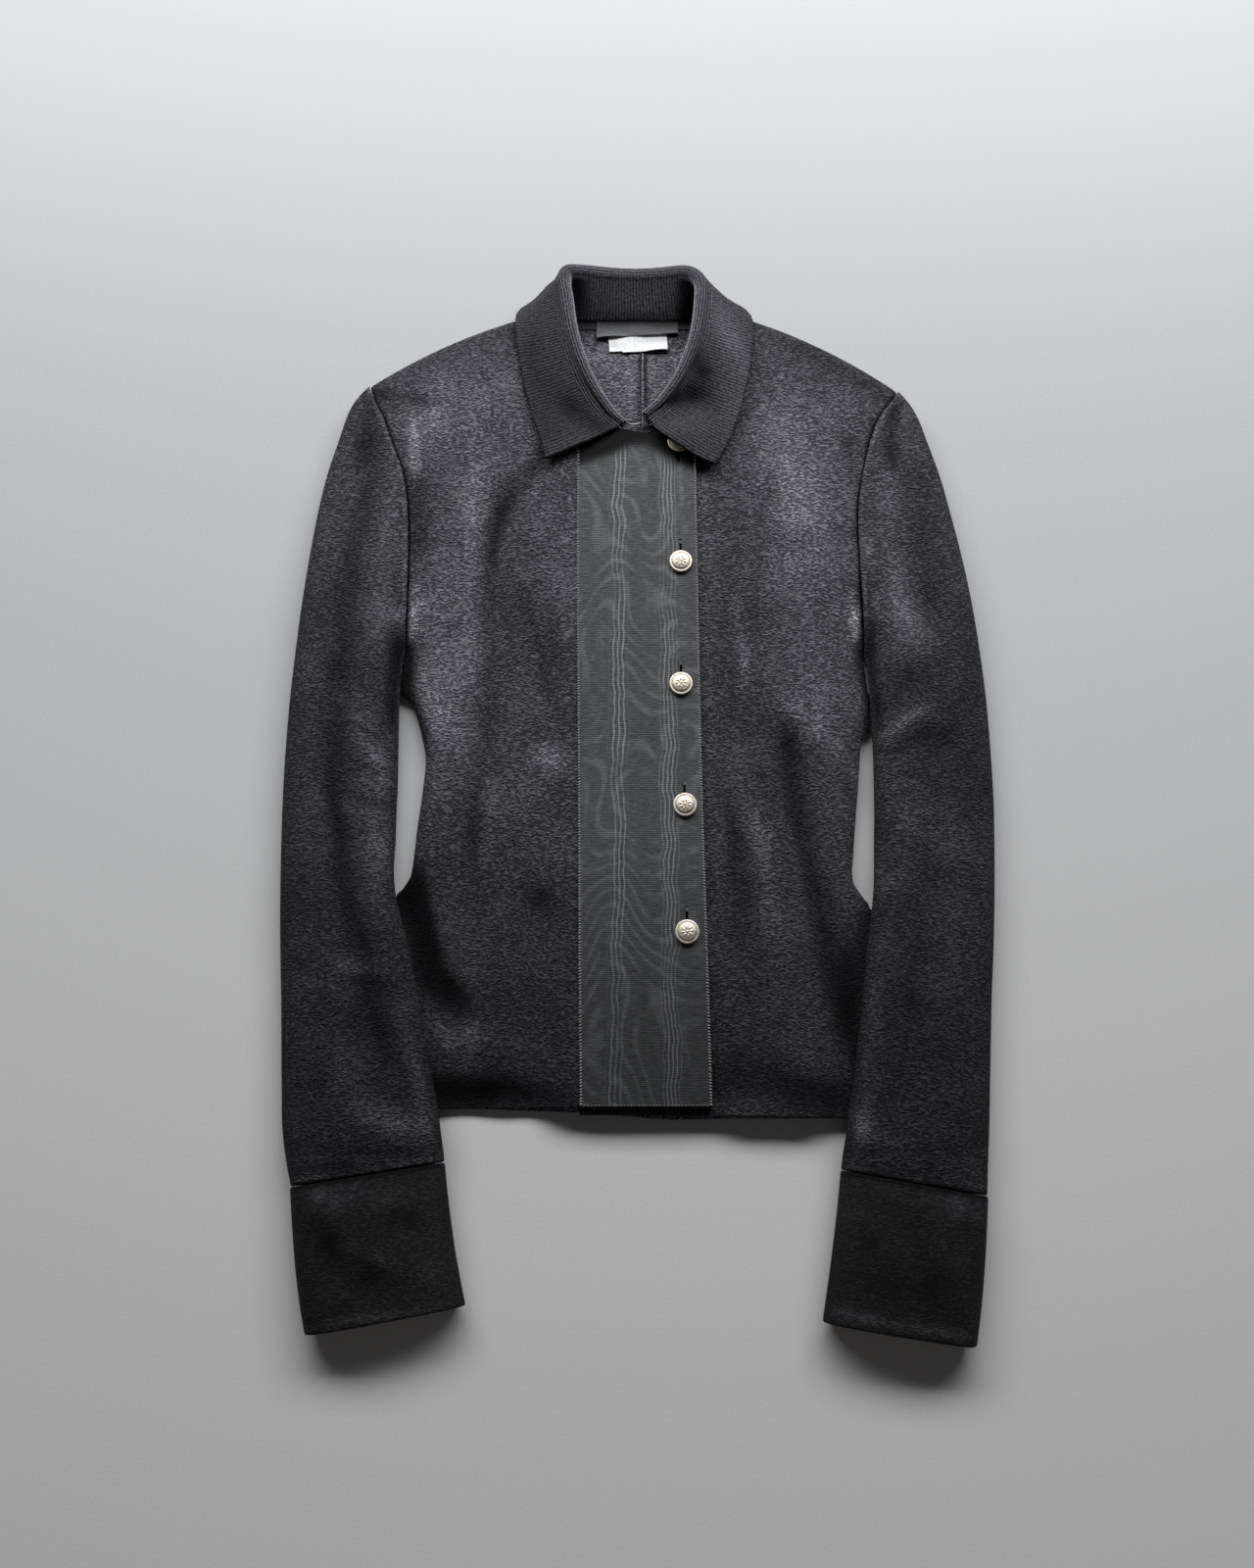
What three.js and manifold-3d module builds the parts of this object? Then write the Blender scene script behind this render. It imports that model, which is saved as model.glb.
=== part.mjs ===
// A short knitted-wool jacket laid out face up on a flat surface, in millimetres, +Z up.
// Left and right are the wearer's, so the right front lies on the -X side.
import * as THREE from 'three';
import { mergeVertices } from 'three/addons/utils/BufferGeometryUtils.js';
import Module from 'manifold-3d';

// Sizes
const CLOTH = 2.2;
const GAP = 0.35;
const SEAM_GAP = 0.5;
const LAYER_GAP = 0.7;
const SHOULDER_ROLL = 34;
const SIDE_ROLL = 11;
const ARMHOLE_ROLL = 46;
const HALF_WIDTH = 168;
const SHOULDER_BOW = 6.5;
const SHOULDER_SLOPE = 0.46;
const SEAM_TOP_Z = 4.3;
const RIBBON = 0.9;
const RIBBON_INSET = 0.6;
const OVERLAP_RAMP_OUT = -80;
const OVERLAP_RAMP_IN = -46;
const CAP_RIDGE = 0.9;
const COLLAR_CLOTH = 2.6;
const COLLAR_AIR = 0.7;
const NECK_GAP = 1.1;
const BACK_SEAM_X = 5;
const CUFF_CLOTH = 3.4;
const BUTTON_RADIUS = 8;
const BUTTON_HEIGHT = 5.4;
const SHANK_RADIUS = 1.1;
const SLIT_LENGTH = 19;
const SLIT_WIDTH = 3;
const SLIT_DEPTH = 12;
const TAPE_THICKNESS = 0.6;
const LABEL_THICKNESS = 0.5;

const table = (names, rows) => rows.map(
  (row) => Object.fromEntries(names.map((name, i) => [name, row[i]])),
);

// Side seam and armhole of the body, hem first, as distances from the middle
const BODY_EDGE_RIGHT = table(['x', 'y'], [
  [-176, -221], [-171.5, -185], [-167.8, -150], [-164.5, -112], [-160.5, -80], [-151, -64],
  [-147.6, -32], [-144.5, -3], [-142.6, 16], [-147, 36], [-152.4, 51], [-158.2, 61],
  [-159.6, 75], [-159.6, 92],
]);
const BODY_EDGE_LEFT = table(['x', 'y'], [
  [176, -221], [171, -185], [166.5, -150], [161, -112], [154.8, -86], [144, -68],
  [144.6, -52], [147.4, -24], [150.4, 3], [152.8, 27], [157.2, 38], [158.7, 50],
  [158.4, 68], [156.8, 88],
]);
const ARMHOLE_RIGHT = table(['x', 'y'], [
  [-159.6, 92], [-158.9, 121], [-159.1, 165], [-160.3, 193], [-162.6, 212], [-166.3, 228],
  [-171, 240], [-175.8, 253], [-180.8, 267], [-187.6, 281], [-193.5, 295],
]);
const ARMHOLE_LEFT = table(['x', 'y'], [
  [156.8, 88], [156.2, 124], [155, 160], [155.2, 190], [157.3, 210], [161, 228],
  [165, 244], [169.6, 258], [175.6, 270], [182.8, 280], [189.5, 291],
]);
const SHOULDER_RIGHT = { neckX: -64, neckY: 356.5, tipX: -193.5, tipY: 295 };
const SHOULDER_LEFT = { neckX: 64, neckY: 356, tipX: 189.5, tipY: 291 };

// Rows of each front from hem to shoulder: front edge or neckline, and y of the outer end
const FRONT_RIGHT_ROWS = table(['x', 'y', 'outerY'], [
  [48.2, -214.5, -215], [47.4, -180, -183], [46.6, -140, -144], [45.9, -100, -108], [45.2, -68, -81],
  [44.6, -40, -63], [43.9, 0, -30], [43.4, 42, 6], [43, 83, 36], [42.8, 125, 66], [42.6, 162, 92],
  [42.5, 195, 116], [42.4, 222, 138], [42.3, 247, 160], [22, 250, 176], [0, 253, 192],
  [-12, 255.6, 205], [-22, 261.3, 217], [-34, 272, 230], [-46.5, 291.5, 246], [-56, 315, 263],
  [-61.5, 336, 279], [-64, 356.5, 295],
]);
const FRONT_LEFT_ROWS = table(['x', 'y', 'outerY'], [
  [-37, -219, -221], [-37.3, -182, -186], [-37.6, -142, -148], [-38, -104, -112], [-38.3, -72, -86],
  [-38.6, -46, -68], [-38.9, -8, -38], [-39.1, 38, 0], [-39.3, 82, 34], [-39.5, 122, 62], [-39.7, 160, 88],
  [-39.8, 194, 112], [-39.9, 222, 136], [-40, 248, 160], [-20, 252, 175], [0, 257.5, 190],
  [12, 260.2, 202], [22, 264.6, 214], [34, 274, 228], [46.5, 292.5, 244], [56, 315, 260],
  [61.5, 336, 276], [64, 356, 291],
]);

// Height of the front's outer face over the surface it all lies on
const HEIGHTS = table(['y', 'side', 'middle'], [
  [-225, 7.8, 13.5], [-150, 7.8, 15], [-60, 8.8, 16.5], [20, 10, 17], [110, 12, 18],
  [190, 13.5, 18], [250, 13.5, 16], [360, 10, 11],
]);

// Soft folds of the fronts: a line, its half width and its height, troughs below zero
const FRONT_FOLDS = table(['x1', 'y1', 'x2', 'y2', 'width', 'height'], [
  [-104, 190, -102, 30, 11, -1.7],
  [-128, 215, -122, 70, 17, 1.6],
  [-70, 222, -98, 190, 16, -1.1],
  [-72, 112, -48, 30, 14, -1.1],
  [-150, -78, -110, -160, 15, -1.8],
  [-112, -172, -100, -196, 16, 1.3],
  [-122, -201, -66, -214, 9, -1.5],
  [-62, 8, -60, -8, 12, 1],
  [-66, -88, -64, -108, 12, -1.1],
  [98, 34, 128, -78, 14, -1.6],
  [128, -78, 140, -176, 14, -1.3],
  [52, -28, 74, -118, 15, -1.2],
  [96, 226, 124, 56, 20, 1.6],
  [74, 110, 74, 28, 13, -1],
  [110, -206, 134, -214, 12, -1.3],
]);

// Sleeve sections from armhole to cuff: outer and inner end, height and how far the
// section still follows the armhole's curve
const SLEEVE_NAMES = ['outerX', 'outerY', 'innerX', 'innerY', 'height', 'bow'];
const SLEEVE_RIGHT_ROWS = table(SLEEVE_NAMES, [
  [-194.2, 295, -160.2, 91.2, 14, 1], [-205.2, 275, -162, 83, 17, 0.82], [-212.5, 249, -162.4, 75, 19, 0.62],
  [-219.3, 225, -162.5, 66, 21, 0.42], [-224.8, 196, -162.5, 56, 22, 0.25], [-229, 163, -162.3, 44, 23, 0.1],
  [-232.6, 127, -162, 31, 23, 0], [-235.4, 90, -161.8, 16, 22, 0], [-237.4, 54, -161.4, -2, 21, 0],
  [-238.3, 19, -161.6, -20, 20, 0], [-238.2, -16, -161.4, -40, 20, 0], [-237.2, -51, -160.8, -62, 20, 0],
  [-235.8, -84, -157.4, -84, 20, 0], [-234, -114, -150, -109, 20, 0], [-231.8, -143, -142.6, -140, 20, 0],
  [-230, -171, -136.6, -168, 20, 0], [-228.2, -199, -131, -195, 20, 0], [-226.2, -226, -126.2, -218, 20, 0],
  [-222.4, -247, -123.8, -235, 21, 0], [-218, -262, -122.6, -247.3, 22, 0],
]);
const SLEEVE_LEFT_ROWS = table(SLEEVE_NAMES, [
  [190.2, 291, 157.6, 87.2, 14, 1], [200.6, 270.5, 158.9, 79, 17, 0.82], [208.2, 246, 159.3, 71, 19, 0.62],
  [215.6, 222, 159.6, 62, 21, 0.42], [221.8, 194, 159.8, 51, 22, 0.25], [227.8, 162, 160, 39, 23, 0.1],
  [232.8, 128, 160.1, 26, 23, 0], [236.6, 92, 160, 11, 22, 0], [239, 56, 159.8, -5, 21, 0],
  [239.9, 20, 159.4, -22, 20, 0], [239.8, -14, 158.4, -41, 20, 0], [238.2, -50, 156.6, -61, 20, 0],
  [236, -84, 154, -84, 20, 0], [233.6, -114, 150, -111, 20, 0], [230.6, -144, 146, -142, 20, 0],
  [228.2, -173, 141.8, -170, 20, 0], [226, -201, 137.6, -198, 20, 0], [223.8, -228, 133.4, -222, 20, 0],
  [221.6, -250, 130.8, -239, 21, 0], [219.4, -267.6, 129, -252, 22, 0],
]);
const CUFF_RIGHT_ROWS = table(SLEEVE_NAMES, [
  [-218.9, -263.1, -122.1, -248, 23.4, 0], [-216.4, -285, -119.4, -268, 24.2, 0],
  [-212.6, -312, -114.8, -296, 24.6, 0], [-208.6, -334, -110.4, -317, 24, 0],
  [-205, -350.5, -106.6, -333.3, 22.4, 0],
]);
const CUFF_LEFT_ROWS = table(SLEEVE_NAMES, [
  [220.3, -268.7, 128.4, -252.7, 23.4, 0], [218, -291, 125.6, -274, 24.2, 0],
  [214.6, -318, 121, -303, 24.6, 0], [211, -341, 117, -326, 24, 0],
  [208, -357.5, 114, -343, 22.4, 0],
]);

// Soft folds of the sleeves' upper face, as for the fronts
const SLEEVE_FOLDS = table(['x1', 'y1', 'x2', 'y2', 'width', 'height'], [
  [-182, 230, -199, 62, 13, -3], [-199, 62, -203, -38, 12, -3.2], [-203, -38, -182, -170, 14, -2.4],
  [-182, -170, -160, -212, 14, -1.8], [-172, 30, -190, -12, 8, -2], [-206, 12, -190, -34, 7, 1.3],
  [-232, -116, -160, -138, 12, -1.3], [-164, -222, -150, -236, 12, 1.6], [-214, 110, -218, -60, 12, 1.6],
  [178, 240, 196, 120, 14, -2.2], [196, 120, 206, 20, 13, -2.6], [206, 20, 196, -120, 14, -2],
  [186, 104, 198, 62, 12, 1.8], [184, 64, 206, 70, 7, -1.8], [212, 22, 228, 44, 8, -1.8],
  [196, -120, 172, -216, 14, -1.6], [220, -30, 170, -60, 11, -1.5], [166, -226, 182, -240, 12, 1.4],
]);

// Cross section of a sleeve: how far across, and how high as a part of the height
const SLEEVE_SECTION = table(['across', 'up'], [
  [0, 0.36], [0.02, 0.6], [0.07, 0.8], [0.17, 0.94], [0.31, 1], [0.46, 1.01], [0.61, 1], [0.76, 0.95],
  [0.88, 0.84], [0.955, 0.66], [1, 0.38], [0.975, 0.13], [0.92, 0.02], [0.78, 0], [0.6, 0],
  [0.42, 0], [0.24, 0], [0.09, 0.015], [0.025, 0.13],
]);
const SECTION_TOP_LAST = 10;

// Collar from the right front end round the back to the left front end: where it is sewn
// on, the top of its fold, the radius of the fold, its free edge, how far that edge
// stands off what it lies on, and how far the fall swings forward between fold and edge
const COLLAR_ROWS = table(
  ['neckX', 'neckY', 'neckZ', 'foldX', 'foldY', 'foldZ', 'radius', 'edgeX', 'edgeY', 'lift', 'swing'], [
    [-10.5, 255.2, 17.6, -8.8, 257.2, 23, 1.9, -63.6, 229.6, 3.5, 2],
    [-20, 260, 16.6, -18.6, 266.5, 25.4, 2.3, -68.6, 247, 2, 1],
    [-34, 272, 14, -30.5, 284, 28.6, 2.7, -75.6, 270, 0.8, 0],
    [-46.5, 291.5, 12.4, -39, 302, 31.5, 3.1, -81.8, 296, 0, 0],
    [-55, 312, 11.6, -44.5, 319.5, 33.5, 3.4, -85.6, 320, 0, 0],
    [-60.5, 331, 10.4, -48, 336, 34.6, 3.7, -88.2, 341, 0, 0],
    [-63, 347, 7.4, -50, 350.5, 35.2, 4, -86.4, 356, 0, 0],
    [-61.6, 357.4, 2, -52, 363.4, 35.6, 4.2, -74, 370, 0, 0],
    [-52, 353.4, 1.6, -46.8, 371.2, 35.6, 4.2, -57, 384, 0, 0],
    [-40, 350.8, 1.6, -36, 371.6, 35.2, 4, -41, 387, 0, 0],
    [-20, 350, 1.6, -19, 370, 34.4, 4, -21, 386.5, 0, 0],
    [0, 350, 1.6, -1, 369.2, 34, 4, 0, 386, 0, 0],
    [20, 350, 1.6, 17, 370, 34.4, 4, 19, 386, 0, 0],
    [40, 350.8, 1.6, 32.5, 371.4, 35.2, 4, 38, 385.5, 0, 0],
    [52, 353.4, 1.6, 41, 369, 35.6, 4.2, 54, 378, 0, 0],
    [62, 356.2, 2, 46.6, 361.5, 35.6, 4.2, 71.5, 365, 0, 0],
    [63, 346, 7.4, 46.5, 350.5, 35.2, 4, 83.4, 351.5, 0, 0],
    [60.5, 331, 10.4, 45, 336.5, 34.6, 3.7, 85, 335, 0, 0],
    [55, 312.5, 11.6, 42, 321, 33.5, 3.4, 83.4, 316, 0, 0],
    [46.5, 292.5, 12.4, 36.5, 304.5, 32, 3.1, 80, 294, 0, 0],
    [34, 274, 13.4, 28.2, 287, 30, 2.7, 74, 270, 0.6, 1],
    [21, 264, 14, 16.4, 271.5, 27.6, 2.3, 65.4, 245, 1.5, 4],
    [8.6, 259.2, 14.8, 5.6, 262.4, 25.4, 2, 56, 225.6, 2.5, 7],
  ],
);

// Buttons from the top down, and the stretch of the ribbon they sit on
const BUTTONS = table(['x', 'y', 'slitAbove'], [
  [29.8, 243.5, -7], [30.4, 152.2, 6.4], [29.8, 64.3, 6.4], [31.7, -19.3, 6.4], [32.4, -103.4, 6.4],
]);

// Strips inside the back neck: size, middle and underside
const STRIPS = {
  neck_tape: { width: 118, depth: 6.4, thickness: TAPE_THICKNESS, x: 0, y: 346.2, z: CLOTH + GAP },
  care_label: { width: 43, depth: 20, thickness: LABEL_THICKNESS, x: 1.6, y: 332.6, z: CLOTH + GAP },
  label: {
    width: 60, depth: 13.6, thickness: LABEL_THICKNESS, x: 0.8, y: 342.4, z: CLOTH + 2 * GAP + TAPE_THICKNESS,
  },
};

// Helpers
const clamp = (value, low, high) => Math.min(high, Math.max(low, value));
const mix = (a, b, t) => a + (b - a) * t;
const smooth = (from, to, value) => {
  const t = clamp((value - from) / (to - from), 0, 1);
  return t * t * (3 - 2 * t);
};

// A smooth curve through the rows of a table, at a row number that need not be whole
function between(rows, at) {
  const last = rows.length - 1;
  const i = clamp(Math.floor(at), 0, last - 1);
  const t = clamp(at - i, 0, 1);
  const before = rows[Math.max(i - 1, 0)];
  const after = rows[Math.min(i + 2, last)];
  const result = {};
  for (const name of Object.keys(rows[0])) {
    const a = rows[i][name];
    const b = rows[i + 1][name];
    const slopeA = (b - before[name]) / (i === 0 ? 1 : 2);
    const slopeB = (after[name] - a) / (i + 2 > last ? 1 : 2);
    result[name] = (2 * t ** 3 - 3 * t ** 2 + 1) * a + (t ** 3 - 2 * t ** 2 + t) * slopeA
      + (3 * t ** 2 - 2 * t ** 3) * b + (t ** 3 - t ** 2) * slopeB;
  }
  return result;
}

// The same for a value of one column: rows run up or down in that column
function rowAt(rows, name, value) {
  const rising = rows[rows.length - 1][name] > rows[0][name];
  let i = 0;
  while (i < rows.length - 2 && (rising ? rows[i + 1][name] < value : rows[i + 1][name] > value)) {
    i += 1;
  }
  const t = clamp((value - rows[i][name]) / (rows[i + 1][name] - rows[i][name]), 0, 1);
  return between(rows, i + t);
}

function distanceToLine(x, y, line) {
  const dx = line.x2 - line.x1;
  const dy = line.y2 - line.y1;
  const t = clamp(((x - line.x1) * dx + (y - line.y1) * dy) / (dx * dx + dy * dy), 0, 1);
  return Math.hypot(x - line.x1 - t * dx, y - line.y1 - t * dy);
}

function folds(rows, x, y) {
  let height = 0;
  for (const fold of rows) {
    const away = distanceToLine(x, y, fold) / fold.width;
    height += fold.height * Math.exp(-away * away);
  }
  return height;
}

// Body surfaces
const bodyEdge = (x) => (x < 0 ? BODY_EDGE_RIGHT : BODY_EDGE_LEFT);
const shoulder = (x) => (x < 0 ? SHOULDER_RIGHT : SHOULDER_LEFT);

function distanceToSide(x, y) {
  const rows = bodyEdge(x);
  let nearest = Infinity;
  for (let i = 0; i < rows.length - 1; i += 1) {
    const line = { x1: rows[i].x, y1: rows[i].y, x2: rows[i + 1].x, y2: rows[i + 1].y };
    nearest = Math.min(nearest, distanceToLine(x, y, line));
  }
  return nearest;
}

// The shoulder seam is a little rounded between neck and tip
const shoulderBow = (along) => SHOULDER_BOW * 4 * clamp(along, 0, 1) * clamp(1 - along, 0, 1);

// How far a point is below the shoulder seam, less than 0 behind it
function belowShoulder(x, y) {
  const seam = shoulder(x);
  const dx = seam.tipX - seam.neckX;
  const dy = seam.tipY - seam.neckY;
  const length = Math.hypot(dx, dy);
  const across = (x - seam.neckX) * dy - (y - seam.neckY) * dx;
  const along = ((x - seam.neckX) * dx + (y - seam.neckY) * dy) / (length * length);
  return (Math.sign(dx) * across) / length + shoulderBow(along);
}

const roll = (distance, radius) => Math.sqrt(1 - (1 - clamp(distance / radius, 0, 1)) ** 2);

// Height of a front away from its seams
function openHeight(x, y) {
  const row = rowAt(HEIGHTS, 'y', clamp(y, HEIGHTS[0].y, HEIGHTS[HEIGHTS.length - 1].y));
  const toSide = clamp(Math.abs(x) / HALF_WIDTH, 0, 1);
  return mix(row.middle, row.side, toSide ** 2.2) + folds(FRONT_FOLDS, x, y);
}

// Outer face of one layer of the front
function frontTop(x, y) {
  const sideRadius = mix(SIDE_ROLL, ARMHOLE_ROLL, smooth(40, 150, y));
  const shape = roll(distanceToSide(x, y), sideRadius) * roll(belowShoulder(x, y), SHOULDER_ROLL);
  return mix(SEAM_TOP_Z, openHeight(x, y), shape);
}

// Outer face of the right front, which climbs over the left front
const overlapTop = (x, y) => frontTop(x, y)
  + (CLOTH + LAYER_GAP) * smooth(OVERLAP_RAMP_OUT, OVERLAP_RAMP_IN, x);

// Where the collar's ends climb onto the overlap and the ribbon: from and to, on each side
const ONTO_OVERLAP = { right: [-82, -50], left: [66, 48], above: [270, 250] };
const ONTO_RIBBON = { right: [-56, -42], left: [60, 45], above: [276, 256] };
const BUTTON_MOUND = BUTTON_HEIGHT + 0.9;
const BUTTON_MOUND_RADIUS = 15.5;
const BEHIND_SHOULDER = -14;
const FRONT_END_Y = 352;
const COLLAR_WALL_REACH = 4;

function onto(place, x, y) {
  return smooth(...place.right, x) * smooth(...place.left, x) * smooth(...place.above, y);
}

// Top of all that the collar's ends lie on
function layersTop(x, y) {
  const away = Math.hypot(x - BUTTONS[0].x, y - BUTTONS[0].y) / BUTTON_MOUND_RADIUS;
  const layers = (CLOTH + LAYER_GAP) * onto(ONTO_OVERLAP, x, y) + (RIBBON + GAP) * onto(ONTO_RIBBON, x, y)
    + BUTTON_MOUND * Math.exp(-away * away);
  const frontY = Math.min(y, FRONT_END_Y);
  const highest = Math.max(frontTop(x, frontY), frontTop(x, frontY - COLLAR_WALL_REACH));
  return (highest + layers) * smooth(BEHIND_SHOULDER, 0, belowShoulder(x, y));
}

// Closed solids from rows of points
function solidFrom(positions, triangles) {
  const geometry = new THREE.BufferGeometry();
  geometry.setAttribute('position', new THREE.Float32BufferAttribute(positions, 3));
  geometry.setIndex(triangles);
  let volume = 0;
  const a = new THREE.Vector3();
  const b = new THREE.Vector3();
  const c = new THREE.Vector3();
  for (let i = 0; i < triangles.length; i += 3) {
    a.fromArray(positions, 3 * triangles[i]);
    b.fromArray(positions, 3 * triangles[i + 1]);
    c.fromArray(positions, 3 * triangles[i + 2]);
    volume += a.dot(b.cross(c));
  }
  if (volume < 0) {
    geometry.setIndex(triangles.toReversed());
  }
  geometry.computeVertexNormals();
  return geometry;
}

// Direction square to a grid of points at one of them, on the given side
function squareTo(rows, r, c, closed, side) {
  const columns = rows[0].length;
  const up = rows[Math.min(r + 1, rows.length - 1)][c];
  const down = rows[Math.max(r - 1, 0)][c];
  const next = closed ? rows[r][(c + 1) % columns] : rows[r][Math.min(c + 1, columns - 1)];
  const previous = closed ? rows[r][(c + columns - 1) % columns] : rows[r][Math.max(c - 1, 0)];
  const along = new THREE.Vector3().subVectors(up, down);
  const across = new THREE.Vector3().subVectors(next, previous);
  return along.cross(across).normalize().multiplyScalar(side);
}

// A wall between an outer and an inner grid; closed rows make a tube
function wallBetween(outer, inner, closed) {
  const rowCount = outer.length;
  const columns = outer[0].length;
  const positions = [];
  for (const grid of [outer, inner]) {
    for (const row of grid) {
      for (const point of row) {
        positions.push(point.x, point.y, point.z);
      }
    }
  }
  const half = rowCount * columns;
  const triangles = [];
  const apart = (a, b) => Math.hypot(
    positions[3 * a] - positions[3 * b],
    positions[3 * a + 1] - positions[3 * b + 1],
    positions[3 * a + 2] - positions[3 * b + 2],
  );
  const quad = (a, b, c, d) => {
    if (apart(a, c) <= apart(b, d)) {
      triangles.push(a, b, c, a, c, d);
    } else {
      triangles.push(a, b, d, b, c, d);
    }
  };
  const lastColumn = closed ? columns : columns - 1;
  for (let r = 0; r < rowCount - 1; r += 1) {
    for (let c = 0; c < lastColumn; c += 1) {
      const next = (c + 1) % columns;
      const a = r * columns + c;
      const b = r * columns + next;
      const d = a + columns;
      const e = b + columns;
      quad(a, b, e, d);
      quad(half + a, half + d, half + e, half + b);
    }
  }
  for (let c = 0; c < lastColumn; c += 1) {
    const next = (c + 1) % columns;
    const top = (rowCount - 1) * columns;
    quad(half + c, half + next, next, c);
    quad(top + c, top + next, half + top + next, half + top + c);
  }
  if (!closed) {
    for (let r = 0; r < rowCount - 1; r += 1) {
      const a = r * columns;
      const b = a + columns;
      const end = columns - 1;
      quad(half + b, half + a, a, b);
      quad(half + a + end, half + b + end, b + end, a + end);
    }
  }
  return solidFrom(positions, triangles);
}

function wall(outer, thickness, closed, side, floor) {
  const inner = outer.map((row, r) => row.map((point, c) => {
    const away = squareTo(outer, r, c, closed, side).multiplyScalar(-thickness);
    const moved = point.clone().add(away);
    moved.z = Math.max(moved.z, floor);
    return moved;
  }));
  return wallBetween(outer, inner, closed);
}

function steps(from, to, count) {
  return Array.from({ length: count + 1 }, (_, i) => mix(from, to, i / count));
}

// Fronts: rows from hem to shoulder seam, columns from the front edge to the side
const EDGE_COLUMNS = [17, 9.5, 4.6, 1.5, 0];
const FRONT_COLUMNS = 13;
const FRONT_ROW_STEPS = [
  0, 0.35, 1, 2, 3, 4, 5, 6, 7, 8, 9, 9.6, 10, 10.35, 11, 12, 13, 14, 15, 16, 17, 18, 19, 20,
  20.8, 21.4, 21.8, 22,
];

const NECK_ROW = 16;

function outerX(side, y) {
  const armhole = side < 0 ? ARMHOLE_RIGHT : ARMHOLE_LEFT;
  const rows = y > armhole[0].y ? armhole : bodyEdge(side);
  return rowAt(rows, 'y', y).x;
}

function frontGrid(rows, side, top) {
  return FRONT_ROW_STEPS.map((at) => {
    const row = between(rows, at);
    const endX = outerX(side, row.outerY);
    const length = Math.hypot(endX - row.x, row.outerY - row.y);
    const places = steps(length, EDGE_COLUMNS[0], FRONT_COLUMNS).concat(EDGE_COLUMNS.slice(1));
    const bow = smooth(NECK_ROW, rows.length - 1, at) / Math.cos(SHOULDER_SLOPE);
    return places.map((fromOuter) => {
      const t = fromOuter / length;
      const x = mix(endX, row.x, t);
      const y = mix(row.outerY, row.y, t) + bow * shoulderBow(t);
      return new THREE.Vector3(x, y, top(x, y));
    });
  });
}

const panelFloor = CLOTH + GAP;
const frontRightGrid = frontGrid(FRONT_RIGHT_ROWS, -1, overlapTop);
const frontLeftGrid = frontGrid(FRONT_LEFT_ROWS, 1, frontTop);

// Back: two flat halves with a seam down the middle
const NECK_BACK = table(['x', 'y'], [
  [12, 349.6], [26, 349.8], [40, 350.4], [52, 353], [64, 356.4],
]);

// Hem of the back; it hangs a little below the fronts in the middle
const HEM_BACK = table(['x', 'y'], [
  [-176, -215], [-128, -213], [-80, -216], [-30, -217.5], [0, -220.5], [22, -222], [60, -221.2], [176, -221],
]);

function backHalf(side) {
  const shape = [];
  const seamX = BACK_SEAM_X + (side * GAP) / 2;
  const edge = bodyEdge(side);
  for (const share of steps(0, 1, 6)) {
    const x = mix(seamX, edge[0].x, share);
    shape.push(new THREE.Vector2(x, rowAt(HEM_BACK, 'x', x).y));
  }
  for (const at of steps(0.25, edge.length - 1, 23)) {
    const point = between(edge, at);
    shape.push(new THREE.Vector2(point.x, point.y));
  }
  const armhole = side < 0 ? ARMHOLE_RIGHT : ARMHOLE_LEFT;
  for (const at of steps(0.5, armhole.length - 1, 19)) {
    const point = between(armhole, at);
    shape.push(new THREE.Vector2(point.x, point.y));
  }
  const seam = shoulder(side);
  for (const along of [0.88, 0.75, 0.6, 0.45, 0.3, 0.15]) {
    const bow = shoulderBow(along) / Math.cos(SHOULDER_SLOPE);
    const x = mix(seam.neckX, seam.tipX, along);
    shape.push(new THREE.Vector2(x, mix(seam.neckY, seam.tipY, along) + bow));
  }
  for (const row of NECK_BACK.toReversed()) {
    shape.push(new THREE.Vector2(side * row.x, row.y));
  }
  shape.push(new THREE.Vector2(seamX, NECK_BACK[0].y));
  return new THREE.ExtrudeGeometry(new THREE.Shape(shape), { depth: CLOTH, bevelEnabled: false });
}

// Ribbon on the right front, from its surface moved out
const RIBBON_ROWS = 26;
const RIBBON_COLUMNS = 6;
const RIBBON_EDGES = table(['y', 'left', 'right'], [
  [-215, -36.6, 48.1], [-100, -38.2, 45.9], [0, -39.4, 43.9], [120, -41, 42.8], [250, -42, 42.3],
]);

function necklineY(x) {
  const rows = FRONT_RIGHT_ROWS.slice(13, 20);
  return rowAt(rows, 'x', x).y;
}

const HEM_FRONT_RIGHT = table(['x', 'y'], [[-176, -215], [48.2, -214.5]]);

function ribbonGrid(lift) {
  const bottom = RIBBON_EDGES[0].y;
  const top = RIBBON_EDGES[RIBBON_EDGES.length - 1].y;
  return steps(0, 1, RIBBON_ROWS).map((v) => steps(0, 1, RIBBON_COLUMNS).map((u) => {
    const edges = rowAt(RIBBON_EDGES, 'y', mix(bottom, top, v));
    const x = mix(edges.left, edges.right - RIBBON_INSET, u);
    const hem = rowAt(HEM_FRONT_RIGHT, 'x', x).y + RIBBON_INSET;
    const y = mix(hem, necklineY(x) - RIBBON_INSET, v);
    return new THREE.Vector3(x, y, overlapTop(x, y) + lift);
  }));
}

const ribbonTopZ = (x, y) => overlapTop(x, y) + GAP + RIBBON;
const BUTTON_SINK = 0.6;

// Sleeves and cuffs
const HEM_REST_Y = -221;
const ARMHOLE_FOOT_Y = 60;
const SLEEVE_AIR = 0.9;

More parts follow.
